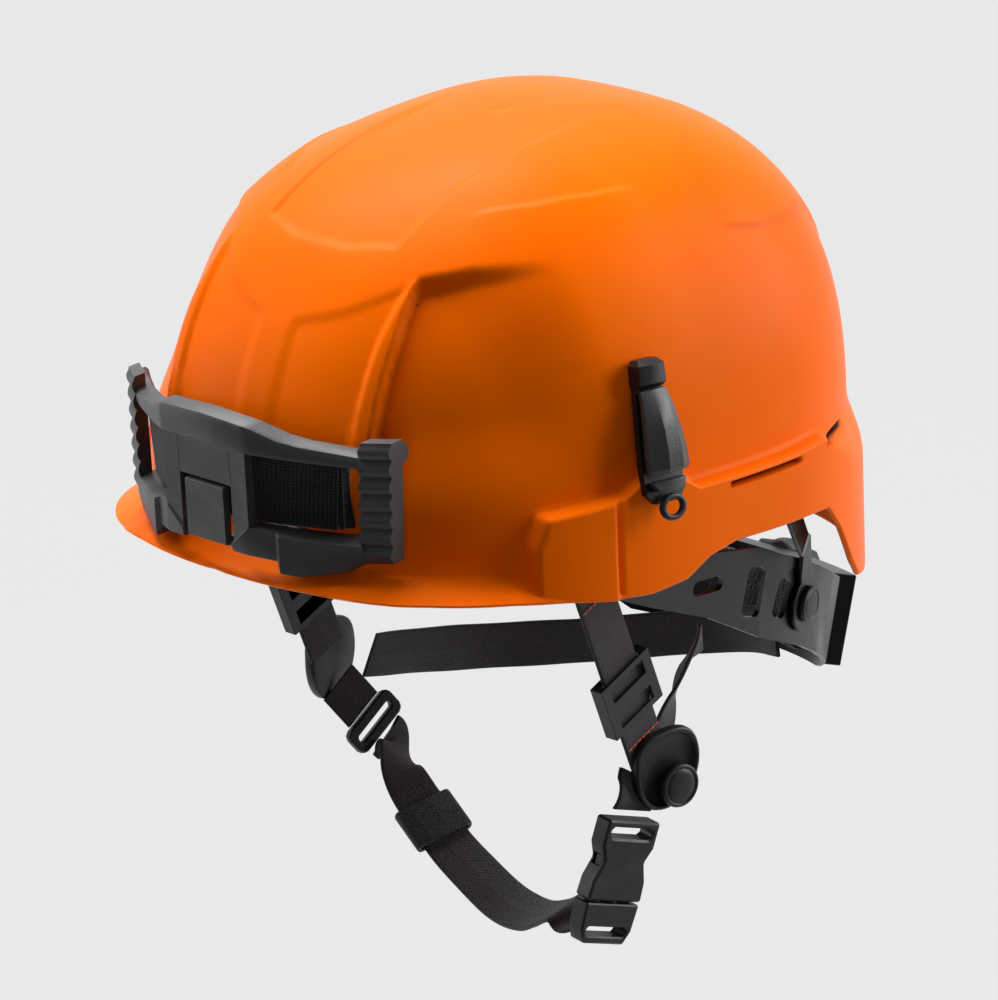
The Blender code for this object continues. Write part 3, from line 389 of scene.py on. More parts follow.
def placed(place, points):
    """Points turned and moved by a 4x4 matrix."""
    matrix = np.array(place)
    return np.asarray(points) @ matrix[:3, :3].T + matrix[:3, 3]


def basis(origin, x_axis, y_axis):
    """A placing matrix from an origin and two directions, the second made square to the first."""
    x = Vector(x_axis).normalized()
    z = x.cross(Vector(y_axis)).normalized()
    made = Matrix((x, z.cross(x), z)).transposed().to_4x4()
    made.translation = Vector(origin)
    return made


def rounded(width, height, radius, steps=5, centre=(0.0, 0.0)):
    """The outline of a rectangle with round corners."""
    turns = np.radians(np.concatenate([90 * k + np.linspace(0, 90, steps) for k in range(4)]))
    across = np.repeat((1, -1, -1, 1), steps) * (width / 2 - radius)
    up = np.repeat((1, 1, -1, -1), steps) * (height / 2 - radius)
    return np.column_stack([centre[0] + across + radius * np.cos(turns),
                            centre[1] + up + radius * np.sin(turns)])


def softened(node, paint, width=0.0006, segments=2, body=None, sharp=35.0):
    """A copy of a plain CAD piece with its doubles merged and its edges rounded."""
    source = frame["nodes"][node]
    mesh = bmesh.new()
    mesh.from_mesh(source.data)
    bmesh.ops.remove_doubles(mesh, verts=mesh.verts, dist=1e-6)
    bmesh.ops.dissolve_limit(mesh, angle_limit=math.radians(0.6), verts=mesh.verts, edges=mesh.edges)
    data = bpy.data.meshes.new(node + "_soft")
    mesh.to_mesh(data)
    mesh.free()
    data.materials.append(paint)
    data.shade_smooth()
    data.set_sharp_from_angle(angle=math.radians(sharp))
    made = bpy.data.objects.new(node + "_skin", data)
    bpy.context.scene.collection.objects.link(made)
    bevel = made.modifiers.new("edges", "BEVEL")
    bevel.width = width
    bevel.segments = segments
    bevel.limit_method = "ANGLE"
    bevel.angle_limit = math.radians(30)
    bevel.harden_normals = True
    fit(made, node, body)
    return made


def fit(piece, node, body=None):
    """Rides a piece on its CAD node's body and hides that node."""
    record = frame["record"]
    bodies = record["behaviour"]["bodies"]
    home = body or next(name for name, nodes in bodies.items() if node in nodes)
    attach(piece, home)
    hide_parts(node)


# ---------------------------------------------------------------- shell
def line(points, angle):
    """Reads one of the angle and level lines, alike on both sides."""
    angles, values = zip(*points)
    return np.interp(np.abs(angle), angles, values)


def shell_points(angle, level, grow=0.0):
    """The dome: a superellipse in plan that shrinks by a superellipse in height, and runs straight
    down below the widest level."""
    turn = np.radians(angle)
    half = SHELL_HALF_WIDTH + grow
    length = np.where(np.cos(turn) > 0, SHELL_FRONT, SHELL_REAR) + grow
    rise = np.clip((level - WIDEST_LEVEL) / (CROWN_HEIGHT + grow), 0, 1)
    shrink = (1 - rise ** PROFILE_POWER) ** (1 / PROFILE_POWER)
    radius = (np.abs(np.sin(turn) / half) ** PLAN_POWER
              + np.abs(np.cos(turn) / length) ** PLAN_POWER) ** (-1 / PLAN_POWER)
    x = np.sin(turn) * radius * shrink
    y = -np.cos(turn) * radius * shrink + CROWN_SHIFT * np.maximum(level - WIDEST_LEVEL, 0)
    return np.stack([x, y, level + 0 * x], axis=-1)


def dome_levels(low_level, grow, rows):
    """Levels from the crown down to a level, evenly spaced along the side view's curve."""
    height = CROWN_HEIGHT + grow
    share = np.clip((low_level - WIDEST_LEVEL) / height, 0, 1)
    lowest = np.arcsin(share ** (PROFILE_POWER / 2))
    t = (np.arange(1, rows + 1) / rows)[:, None]
    turn = math.pi / 2 + (lowest[None, :] - math.pi / 2) * t
    return WIDEST_LEVEL + height * np.sin(turn) ** (2 / PROFILE_POWER)


def grid_normals(points):
    """Outward unit normals of a grid of rows that run round the dome."""
    beside = np.roll(points, -1, 1) - np.roll(points, 1, 1)
    below = np.gradient(points, axis=0)
    normal = np.cross(below, beside)
    normal /= np.maximum(np.linalg.norm(normal, axis=-1, keepdims=True), 1e-12)
    return normal


def beside_line(x, y, corners):
    """Signed distance from a bent line in a plane, positive on its left, and how far along it lies."""
    corners = np.asarray(corners, float)
    best = np.full(x.shape, 1e9)
    signed = np.zeros(x.shape)
    along = np.zeros(x.shape)
    count = len(corners) - 1
    for k, (a, b) in enumerate(zip(corners, corners[1:])):
        d = b - a
        t = ((x - a[0]) * d[0] + (y - a[1]) * d[1]) / (d @ d)
        clipped = np.clip(t, 0, 1)
        away = np.hypot(x - a[0] - clipped * d[0], y - a[1] - clipped * d[1])
        side = np.sign(d[0] * (y - a[1]) - d[1] * (x - a[0]))
        nearer = away < best
        best = np.where(nearer, away, best)
        signed = np.where(nearer, away * side, signed)
        along = np.where(nearer, (k + clipped) / count, along)
    return signed, along


def crown_panel(x, y, z):
    """Share of the sunken crown panel: bounded by a soft step on both sides and in front, and
    fading out behind the crown."""
    side = 0.0325 - np.abs(x)
    front = y + 0.0995 - np.maximum(np.abs(x) - 0.013, 0) * 0.36
    inside = np.minimum(side, front * 0.95)
    fade = 1 - step(-0.030, 0.022, y)
    return step(-0.0012, 0.0018, inside) * fade * (z > 0.10)


def dome_relief(x, y, z):
    """Height of the moulded relief above the plain dome, alike on both sides."""
    side = np.abs(x)
    relief = -0.0016 * crown_panel(x, y, z)
    # shoulder: the lower side stands proud along a bent line and fades outwards
    away, along = beside_line(side, y, ((0.045, -0.070), (0.0585, -0.046), (0.066, -0.022), (0.070, 0.004)))
    outer = step(-0.0009, 0.0009, -away) * np.exp(-np.maximum(-away, 0) / 0.016)
    relief = relief + 0.0011 * outer * (z > 0.09) * step(0.0, 0.16, along) * (1 - step(0.75, 1.0, along))
    # front panel between the centre and the rib, sunk a little
    top = np.interp(side, (0.0, 0.010, 0.028, 0.047), (0.104, 0.1075, 0.1125, 0.1215))
    panel = step(0.0070, 0.0098, side) * (1 - step(0.0445, 0.0455, side))
    relief = relief - 0.0008 * panel * (1 - step(-0.0022, 0.0012, z - top)) * (y < -0.04)
    # rib that narrows to a point at the scoop
    middle = np.interp(z, (0.040, 0.071, 0.090, 0.108, 0.121), (0.0487, 0.0487, 0.0485, 0.0478, 0.0470))
    half = np.interp(z, (0.040, 0.071, 0.105, 0.121), (0.0036, 0.0034, 0.0026, 0.0004))
    rib = 1 - step(-0.0007, 0.0009, np.abs(side - middle) - half)
    relief = relief + 0.0009 * rib * (y < -0.04) * (z < 0.122)
    # scoop: sharp overhang above, sunken field below it that fades towards the ear and the brim
    roof = np.interp(side, (0.046, 0.061, 0.076, 0.090), (0.1235, 0.1262, 0.1250, 0.1190))
    under = step(-0.0003, 0.0042, roof - z)
    rear = 1 - step(-0.098, -0.052, y)
    start = step(0.0, 0.0016, side - middle - half)
    floor = step(0.040, 0.078, z)
    deep = 0.0058 * under * rear * start * floor * (y < 0)
    return relief - deep


def rear_relief(x, y, z):
    """Two creases that run from the ears up to the back, with the panel behind them set in."""
    side = np.abs(x)
    away, along = beside_line(y, z, ((0.020, 0.1180), (0.045, 0.1120), (0.095, 0.1040), (0.118, 0.0720)))
    inner = step(-0.0010, 0.0012, away) * np.exp(-np.maximum(away, 0) / 0.020)
    return 0.0012 * inner * (side > 0.02) * (y > 0) * step(0.0, 0.25, along)


def shell_columns():
    """Plan angles of the columns: fine where the relief is, and along the band's crisp ends."""
    marks = [0.0]
    while marks[-1] < 180.0:
        a = marks[-1]
        gap = 0.85 if a < 18 else 0.52 if a < 62 else 0.80 if a < 84 else 0.60 if a < 131 else 1.7
        marks.append(a + gap)
    right = np.array(marks[:-1]) * 180.0 / marks[-1]
    return np.concatenate([-right[:0:-1], right, [180.0]])


def wall_shares(drop):
    """Shares from the band's top to the rim. The first rows keep fixed distances below the top, so that
    the ledge and the slits follow them; the others fill the rest and are fine at the rim."""
    edges = (SLIT_DROP - 0.0003, SLIT_DROP, SLIT_DROP + SLIT_HEIGHT, SLIT_DROP + SLIT_HEIGHT + 0.0003)
    near = np.array((0.0, 0.0003, 0.0007, 0.0012, 0.0018, 0.0026, *edges, 0.0085))[:, None] + 0 * drop
    rest = np.concatenate([np.linspace(0.08, 0.90, 15), [0.93, 0.95, 0.965, 0.98, 0.99, 1.0]])[:, None]
    return np.concatenate([near, near[-1] + (drop - near[-1]) * rest]) / drop


def make_shell():
    """Outer dome rows, side-wall rows with band, brim and pocket, a rounded lip, and the inside."""
    angle = shell_columns()
    columns = len(angle)
    top = line(BAND_LINE, angle)
    rim = line(RIM_LINE, angle)
    dome = shell_points(np.broadcast_to(angle, (118, columns)), dome_levels(top, 0.0, 118))
    share = wall_shares(top - rim)
    level = top + (rim - top) * share
    wall = shell_points(np.broadcast_to(angle, level.shape), level)
    base = np.concatenate([dome[:-1], wall])
    normal = grid_normals(base)
    x, y, z = base[..., 0], base[..., 1], base[..., 2]
    relief = dome_relief(x, y, z) + rear_relief(x, y, z)
    # the side band and its pocket
    turn = np.abs(angle)[None, :]
    below = np.concatenate([np.full((117, columns), -1.0), (top - rim) * share])
    starts = step(BAND_START - 0.9, BAND_START + 0.9, turn + np.maximum(0.012 - below, 0) * -160)
    ledge = step(-0.0002, np.interp(turn, (116, 134), (0.0016, 0.0260)), below)
    band = BAND_DEPTH * ledge * starts
    ahead = 1 - step(POCKET_END - 0.3, POCKET_END + 0.3, turn)
    pocket = 0.0012 * ledge * starts * ahead * step(0.0, 0.003, below)
    groove = 0.0016 * np.exp(-((turn - POCKET_END - 0.35) / 0.42) ** 2) * step(0.001, 0.004, below)
    # the brim flares out in front, as a lip along the rim elsewhere
    reach = line(BRIM_LINE, angle)
    lipped = np.interp(share + 0 * top, (0, 0.55, 0.75, 0.88, 0.96, 1.0), (0, 0, 0.10, 0.42, 0.82, 1.0))
    flare = np.concatenate([np.zeros((117, columns)), lipped])
    proud = np.maximum(band + pocket - groove, reach * flare)
    # slits through the upper part of the band; the same mask also paints them near-black, as painted shade
    slit_and_painted_shade = np.zeros_like(proud)
    for first, last in SLIT_SPANS:
        ends = step(first - 0.35, first + 0.35, turn) * (1 - step(last - 0.35, last + 0.35, turn))
        inside = (below > SLIT_DROP - 0.0001) & (below < SLIT_DROP + SLIT_HEIGHT + 0.0001)
        slit_and_painted_shade = np.maximum(slit_and_painted_shade, ends * inside)
    outer = relief + proud - slit_and_painted_shade * np.minimum(proud, 0.0052)
    hollow = np.minimum(proud + np.minimum(relief, 0) - SHELL_WALL, outer - 0.0008)
    points = base + normal * outer[..., None]
    # rounded lip under the rim, then the inside from the rim up to the crown
    lip = []
    for part in np.linspace(0.2, 1.0, 5):
        swing = part * math.pi
        depth = proud[-1] - (1 - math.cos(swing)) / 2 * SHELL_WALL
        lowered = base[-1] - np.array([0, 0, 0.0013]) * math.sin(swing)
        lip.append(lowered + normal[-1] * depth[:, None])
    picks = np.concatenate([np.arange(0, 117, 5), np.arange(117, base.shape[0] - 1, 2)])[::-1]
    inner = base[picks] + normal[picks] * hollow[picks][..., None]
    points = np.concatenate([points, np.array(lip), inner])
    flat = points.reshape(-1, 3)
    faces = grid_faces(len(points), columns).tolist()
    crown = Vector((0, CROWN_SHIFT * CROWN_HEIGHT, WIDEST_LEVEL + CROWN_HEIGHT))
    tops = np.array([crown - Vector((0, 0, 0.0016)), crown - Vector((0, 0, 0.0016 + SHELL_WALL))])
    first, last = len(flat), (len(points) - 1) * columns
    faces += [(first, k, (k + 1) % columns) for k in range(columns)]
    faces += [(first + 1, last + (k + 1) % columns, last + k) for k in range(columns)]
    made = add_mesh("shell_skin", np.concatenate([flat, tops]), faces, ORANGE, sharp=70.0)
    # the slit mask is stored as a point attribute that the shell finish paints near-black: painted shade inside
    # the slots
    painted_shade_mask = np.zeros(len(flat) + 2, np.float32)
    painted_shade_mask[:slit_and_painted_shade.size] = slit_and_painted_shade.ravel()
    made.data.attributes.new("slit_and_painted_shade", "FLOAT", "POINT").data.foreach_set("value", painted_shade_mask)
    fit(made, "shell")


# ---------------------------------------------------------------- straps
def smooth_path(points, steps):
    """A Catmull-Rom curve through the points, with the given steps in each span."""
    p = np.array([tuple(point) for point in points], float)
    p = np.concatenate([[2 * p[0] - p[1]], p, [2 * p[-1] - p[-2]]])
    t = (np.arange(steps) / steps)[None, :, None]
    a, b, c, d = (p[k:len(p) - 3 + k][:, None, :] for k in range(4))
    curve = 0.5 * (2 * b + (c - a) * t + (2 * a - 5 * b + 4 * c - d) * t * t
                   + (3 * b - a - 3 * c + d) * t ** 3)
    return np.concatenate([curve.reshape(-1, 3), p[-2:-1]])


def strap(name, points, looks, paint=WEB, width=WEBBING, thickness=WEBBING_THICKNESS, steps=14, ripple=0.0):
    """Webbing along a path: a flat section with round edges, its face turned to each point's look.
    UV is in metres, across and along."""
    path = smooth_path(points, steps)
    look = smooth_path(looks, steps)
    along = np.gradient(path, axis=0)
    along /= np.linalg.norm(along, axis=1, keepdims=True)
    across = np.cross(along, look)
    across /= np.linalg.norm(across, axis=1, keepdims=True)
    normal = np.cross(across, along)
    travel = np.concatenate([[0], np.cumsum(np.linalg.norm(np.diff(path, axis=0), axis=1))])
    flat = np.linspace(-1, 1, 9)
    round_end = np.radians(np.array((60, 30, 0, -30, -60)))
    straight = width / 2 - thickness / 2
    edge = straight + thickness / 2 * np.cos(round_end)
    u = np.concatenate([flat * straight, edge, -flat * straight, -edge])
    turned_edge = 0.5 * np.sin(round_end)
    v = np.concatenate([np.full(9, 0.5), turned_edge, np.full(9, -0.5), -turned_edge]) * thickness
    wave = ripple * np.sin(travel * 170.0)[:, None] * (u / width)[None, :]
    rings = (path[:, None] + across[:, None] * u[None, :, None]
             + normal[:, None] * (v[None, :] + wave)[..., None])
    uv = np.stack(np.broadcast_arrays(u[None, :] + width / 2, travel[:, None]), -1).reshape(-1, 2)
    return skin(name, rings, paint, 60.0, uv)


def turned(name, profile, place, paint, segments=48, sharp=40.0):
    """A profile of radius and height turned about the Z of its place."""
    profile = np.asarray(profile, float)
    turn = np.linspace(0, 2 * math.pi, segments, endpoint=False)
    radius = profile[:, 0][:, None] + 0 * turn
    rings = np.stack([radius * np.cos(turn), radius * np.sin(turn), profile[:, 1][:, None] + 0 * turn], -1)
    return skin(name, placed(place, rings), paint, sharp)


def mirrored(point, sign):
    return Vector((point[0] * sign, point[1], point[2]))


STRAP_TOP = (0.0852, -0.056, 0.008)
STRAP_FOOT = (0.0852, -0.0235, -0.084)
GLIDE_SHARE = 0.68
DIVIDER = (0.0890, -0.019, -0.091)
REAR_PLANE = 0.0828
BUCKLE_TOP = Vector((0.0846, -0.0345, -0.1075))
BUCKLE_FOOT = Vector((0.0808, -0.0515, -0.1530))
CHIN_LEVEL = -0.1684


def buckle_frame():
    along = (BUCKLE_TOP - BUCKLE_FOOT).normalized()
    across = along.cross(Vector((1, -0.15, 0))).normalized()
    return basis(BUCKLE_TOP.lerp(BUCKLE_FOOT, 0.5), across, along)


def make_straps():
    out = Vector((1, 0, 0))
    for side, sign in (("left", 1), ("right", -1)):
        top = mirrored(STRAP_TOP, sign)
        low = mirrored(STRAP_FOOT, sign)
        web = strap(f"front_strap_{side}_web", [top, top.lerp(low, 0.5), low], [out * sign] * 3)
        fit(web, f"front_strap_{side}")
    rear = strap("rear_strap_left_web",
                 [(REAR_PLANE, -0.0112, -0.0790), (0.0822, -0.0031, -0.0660), (0.0800, 0.0069, -0.0570),
                  (0.0765, 0.0200, -0.0525)],
                 [(1, -0.2, -0.5), (0.75, -0.1, -0.9), (0.8, 0, -0.8), (1, 0, -0.2)], width=0.014)
    fit(rear, "rear_strap_left")
    neck = strap("rear_strap_right_web",
                 [(-0.0812, -0.0030, -0.0930), (-0.0800, 0.0250, -0.1003), (-0.0735, 0.0535, -0.1068),
                  (-0.0600, 0.0755, -0.1095), (-0.0440, 0.0948, -0.1105), (-0.0260, 0.1120, -0.1095),
                  (-0.0040, 0.1225, -0.1055), (0.0180, 0.1205, -0.0990), (0.0360, 0.1130, -0.0935)],
                 [(-1, 0, 0.25), (-1, 0.1, 0.1), (-0.9, 0.4, 0), (-0.75, 0.65, 0), (-0.7, 0.75, 0),
                  (-0.45, 0.9, 0), (0, 1, 0), (0.3, 1, 0), (0.5, 0.9, 0)], ripple=0.0006)
    fit(neck, "rear_strap_right")
    place = buckle_frame()
    across = place.to_3x3() @ Vector((0, 0, 1))
    top = place @ Vector((0, 0.0280, 0))
    foot = Vector((0.0810, -0.0265, -0.0925))
    bend = foot.lerp(place @ Vector((0, 0.0330, 0)), 0.5) - Vector((0.001, 0, 0))
    short = [foot, bend, place @ Vector((0, 0.0330, 0)), top]
    fit(strap("buckle_strap_web", short, [out] * 3 + [across]), "buckle_strap")
    top = mirrored(DIVIDER, -1) + Vector((0.0035, 0.0010, -0.0100))
    low = Vector((-0.0770, -0.0075, -0.1197))
    slope = (low - top).normalized()
    route = [place @ Vector((0, -0.0190, -0.0078)), place @ Vector((0, -0.0212, -0.0130)),
             (0.0615, -0.0470, -0.1474), (0.0494, -0.0420, -0.1551), (0.0362, -0.0370, -0.1623),
             (0.0201, -0.0300, -0.1672), (0.0045, -0.0240, CHIN_LEVEL), (-0.0143, -0.0180, -0.1652),
             (-0.0301, -0.0140, -0.1602), (-0.0423, -0.0115, -0.1528), (-0.0545, -0.0090, -0.1454),
             (-0.0637, -0.0070, -0.1364), low + slope * 0.0125, low + slope * 0.0085]
    looks = [(0.57, 0.13, -0.81), (0.57, 0.13, -0.81), (0.57, 0.13, -0.81), (0.50, 0.15, -0.85),
             (0.15, 0.30, -0.90), (-0.25, 0.45, -0.80), (-0.50, 0.50, -0.68), (-0.60, 0.45, -0.60),
             (-0.72, 0.40, -0.55), (-0.76, 0.36, -0.52), (-0.80, 0.30, -0.46), (-0.95, 0.10, -0.20),
             (-1, 0, 0), (-1, 0, 0)]
    chin = strap("chin_strap_web", route, looks)
    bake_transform(chin)
    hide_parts("chin_strap")
    fit(strap("chin_link_web", [top, top.lerp(low, 0.5), low - slope * 0.0070], [-out] * 3), "chin_link")
    band = (Vector(route[10]) - Vector(route[8])).normalized()
    keeper = basis(route[9], band.cross(Vector(looks[9])), band)
    loop = rounded(WEBBING + 0.0052, 0.0054, 0.0022)
    inner = rounded(WEBBING + 0.0024, 0.0030, 0.0012)
    sleeve_rings = [(loop, -0.0092), (loop * 1.02, -0.0086), (loop * 1.02, 0.0086), (loop, 0.0092),
                    (inner, 0.0092), (inner, -0.0092)]
    rings = [placed(keeper, np.column_stack([ring[:, 0], np.full(len(ring), level), ring[:, 1]]))
             for ring, level in sleeve_rings]
    uv = [np.column_stack([ring[:, 0] + 0.013, np.full(len(ring), level + 0.01)])
          for ring, level in sleeve_rings]
    cuff = skin("strap_keeper_sleeve", rings, CUFF, 50.0, np.concatenate(uv), closed=True)
    fit(cuff, "strap_keeper")


# ---------------------------------------------------------------- soft parts inside
def make_liner():
    """The foam liner: the dome's shape between two offsets, with broad channels pressed in."""
    angle = np.linspace(-180, 180, 240, endpoint=False)
    rim = np.full_like(angle, LINER_RIM)
    sheets = []
    outside = -(SHELL_WALL + LINER_GAP)
    for grow, rows, depth in ((outside, 40, 0.0), (outside - LINER_THICKNESS, 60, 1.0)):
        level = dome_levels(rim, grow, rows)
        points = shell_points(np.broadcast_to(angle, level.shape), level, grow)
        x, y, z = np.moveaxis(points, -1, 0)
        normal = grid_normals(points)
        if not depth:
            sunk = np.minimum(dome_relief(x, y, z) + rear_relief(x, y, z), 0)
            points = points + normal * (1.30 * sunk - 0.0016)[..., None]
        else:
            channel = np.exp(-(np.abs(np.abs(x) - 0.035) / 0.006) ** 4) * step(0.045, 0.06, z)
            ring = np.exp(-((z - 0.075) / 0.006) ** 4)
            points = points + normal * (0.004 * np.maximum(channel, ring))[..., None]
        sheets.append(points)
    outer, inner = sheets
    rows = np.concatenate([outer, inner[::-1]])
    columns = len(angle)
    flat = rows.reshape(-1, 3)
    faces = grid_faces(len(rows), columns).tolist()
    tops = []
    for grow in (outside, outside - LINER_THICKNESS):
        height = CROWN_HEIGHT + grow
        tops.append((0, CROWN_SHIFT * height, WIDEST_LEVEL + height))
    first, last = len(flat), (len(rows) - 1) * columns
    faces += [(first, k, (k + 1) % columns) for k in range(columns)]
    faces += [(first + 1, last + (k + 1) % columns, last + k) for k in range(columns)]
    fit(add_mesh("impact_liner_foam", np.concatenate([flat, tops]), faces, FOAM, 45.0), "impact_liner")


# ---------------------------------------------------------------- lamp bracket
def lamp_front(x):
    """The bracket's front in plan: flat in the middle, swept back to both ends."""
    share = np.maximum(np.abs(x) - LAMP_PLATE_HALF, 0) / (LAMP_HALF_WIDTH - LAMP_PLATE_HALF)
    return LAMP_PLATE_FRONT + (LAMP_END_FRONT - LAMP_PLATE_FRONT) * share ** 1.08


def moulding(name, stations, paint, chamfer=0.0014, node="lamp_bracket"):
    """A bar along X: at each x its front, back, lower and upper limits, all four edges chamfered."""
    x, front, back, low, high = np.array(stations, float).T[:, :, None]
    c = chamfer
    y = np.concatenate([front, front + c * 0.3, front + c, back - c, back, back, back - c, front + c,
                        front + c * 0.3, front], 1)
    z = np.concatenate([low + c, low + c * 0.3, low, low, low + c, high - c, high, high, high - c * 0.3,
                        high - c], 1)
    made = skin(name, np.stack([x + 0 * y, y, z], -1), paint, 28.0)
    fit(made, node)
    return made


def make_bracket():
    top = ((0.0, 0.0705, 0.0826), (0.0205, 0.0700, 0.0818), (0.0235, 0.0696, 0.0806),
           (0.0320, 0.0684, 0.0762), (0.0385, 0.0674, 0.0742), (0.0570, 0.0652, 0.0706),
           (0.0640, 0.0655, 0.0716), (0.0672, 0.0665, 0.0738))
    levels = [(-x, low, high) for x, low, high in top[:0:-1]] + list(top)
    moulding("bracket_top", [(x, lamp_front(x) - 0.0006, lamp_front(x) + 0.0095, low, high)
                             for x, low, high in levels], GREY, 0.0017)
    front = LAMP_PLATE_FRONT
    for side, sign in (("left", 1), ("right", -1)):
        jamb = [(sign * x, front + 0.0003, front + 0.0046, 0.0300, 0.0712) for x in (0.0132, 0.0212)][::sign]
        moulding(f"plate_jamb_{side}", jamb, GREY, 0.0008)
        low = ((0.0128, 0.0300, 0.0345), (0.0205, 0.0300, 0.0418), (0.0300, 0.0282, 0.0404),
               (0.0322, 0.0240, 0.0398), (0.0380, 0.0230, 0.0384), (0.0526, 0.0252, 0.0368),
               (0.0585, 0.0292, 0.0362))
        lower = [(sign * x, lamp_front(x) - 0.0004 - 0.0022 * (x > 0.031), lamp_front(x) + 0.0095,
                  bottom, high) for x, bottom, high in low]
        moulding(f"lower_bar_{side}", lower[::sign], GREY, 0.0013)
        grip(side, sign)
    moulding("plate_upper", [(x, front + 0.0003, front + 0.0046, 0.0556, 0.0712) for x in (-0.0134, 0.0134)],
             GREY, 0.0006)
    moulding("plate_foot", [(x, front + 0.0030, front + 0.0060, 0.0300, 0.0345) for x in (-0.0134, 0.0134)],
             GREY, 0.0006)
    tongue = [(x, front - 0.0007, front + 0.0026, 0.0318, 0.0546) for x in (-0.0098, 0.0098)]
    moulding("latch_tongue", tongue, GREY, 0.0007, "lamp_latch")
    path = np.linspace(-0.0475, 0.0475, 13)
    belt = strap("elastic_belt", np.column_stack([path, lamp_front(path) + 0.0052 - 0.0002, 0.0578
                                                  - 0.10 * np.maximum(np.abs(path) - 0.022, 0)]),
                 [(0, -1, 0)] * 13, ELASTIC, 0.0315, ELASTIC_THICKNESS, 4)
    fit(belt, "lamp_strap")
    for side, sign in (("left", 1), ("right", -1)):
        fold = np.array((0.0475, 0.0470, 0.0400, 0.0320))
        back = np.array((0.0056, 0.0092, 0.0098, 0.0092))
        points = np.column_stack([sign * fold, lamp_front(fold) + back, 0.0578 - 0.10 * (fold - 0.022)])
        looks = [(sign, -0.4, 0), (0, -1, 0), (0, -1, 0), (0, -1, 0)]
        fit(strap(f"elastic_fold_{side}", points, looks, ELASTIC, 0.0312, 0.0026, 6), "lamp_strap")


def grip(side, sign):
    """The bracket's end: an upright strip whose front is a row of scallops, one above the other."""
    level = np.linspace(0.0288, 0.0760, 78)
    wave = np.abs(np.sin((level - 0.0288) * (math.pi * RIDGES / 0.0472)))
    rise = 0.0016 * wave * step(0.0288, 0.031, level) * (1 - step(0.0735, 0.0760, level))
    across = np.concatenate([np.linspace(0.0572, 0.0668, 6), np.linspace(0.0668, 0.0572, 6)])
    lean = 0.0012 * (level - 0.0288) / 0.0472
    x = across[None, :] + lean[:, None]
    y = lamp_front(x) + np.where(np.arange(12) < 6, -0.0006, 0.0050)[None, :]
    y = y - np.where(np.arange(12) < 6, 1, 0) * rise[:, None]
    rings = np.stack([sign * x, y, level[:, None] + 0 * x], -1)
    fit(skin(f"grip_{side}_ridges", rings, GREY, 50.0), "lamp_bracket")


# ---------------------------------------------------------------- harness fittings
def node_frame(node):
    """The middle of a CAD piece and the direction in which it is thinnest, pointing outwards."""
    data = frame["nodes"][node].data
    points = np.array([tuple(vertex.co) for vertex in data.vertices])
    middle = points.mean(0)
    thin = np.linalg.svd(points - middle, full_matrices=False)[2][-1]
    if thin[0] * middle[0] < 0:
        thin = -thin
    return Vector(middle), Vector(thin)


def button(name, node, radius, thickness, paint, turn_to=None, body=None):
    """A round cap: a soft outer rim, a fine groove and a slightly domed middle."""
    middle, out = node_frame(node)
    out = turn_to or out
    place = basis(middle, out.cross(Vector((0, 0, 1))), out.cross(out.cross(Vector((0, 0, 1)))))
    if (place.to_3x3() @ Vector((0, 0, 1))).dot(out) < 0:
        place = place @ Matrix.Rotation(math.pi, 4, "X")
    half = thickness / 2
    profile = [(radius * share, half * rise) for share, rise in
               ((0.90, -1.0), (0.985, -0.85), (1.0, -0.3), (1.0, 0.35), (0.965, 0.80), (0.90, 1.0), (0.84, 1.0),
                (0.81, 0.72), (0.78, 0.72), (0.74, 0.95), (0.55, 1.12), (0.28, 1.22), (0.02, 1.25))]
    fit(turned(name, profile, place, paint, 64, sharp=60.0), node, body)


def make_dividers():
    """A shield-shaped hood with a raised rim round a shallow dish, and its round button."""
    for side, sign in (("left", 1), ("right", -1)):
        centre = mirrored(DIVIDER, sign)
        outline = [(-0.0140, 0.0090), (-0.0105, 0.0138), (-0.0040, 0.0160), (0.0070, 0.0162), (0.0130, 0.0135),
                   (0.0162, 0.0080), (0.0168, 0.0000), (0.0140, -0.0080), (0.0080, -0.0135), (0.0010, -0.0162),
                   (-0.0070, -0.0148), (-0.0120, -0.0090), (-0.0142, -0.0010)]
        closed = smooth_path([(x, y, 0) for x, y in outline + outline[:1]], 5)[:-1, :2]
        place = basis(centre, (0.18, 0.98 * sign, 0), (0, 0, 1))
        closed = closed * (sign, 1)
        rings = []
        for share, height in ((0.94, -0.0022), (0.985, -0.0018), (1.0, -0.0008), (1.0, 0.0010), (0.975, 0.0021),
                              (0.93, 0.0024), (0.88, 0.0021), (0.85, 0.0010), (0.80, 0.0004), (0.55, 0.0000),
                              (0.20, 0.0000)):
            rings.append(placed(place, np.column_stack([closed * share, np.full(len(closed), height)])))
        fit(skin(f"divider_{side}_hood", rings, DARK, 50.0), f"divider_{side}")
        button(f"divider_button_{side}", f"divider_cap_{side}", 0.0088, 0.0032, DARK,
               Vector((0.98 * sign, -0.18, 0.05)))


def clip_frame(sign):
    """The clip's place on the dome: X out of it, Y up along it."""
    angle = sign * CLIP_ANGLE
    here = Vector(shell_points(np.array(angle), np.array(CLIP_LEVEL)))
    above = Vector(shell_points(np.array(angle), np.array(CLIP_LEVEL + 0.02)))
    beside = Vector(shell_points(np.array(angle + 4), np.array(CLIP_LEVEL)))
    up = (above - here).normalized()
    out = (beside - here).cross(up).normalized()
    if out.x * sign < 0:
        out = -out
    return basis(here, out, up)


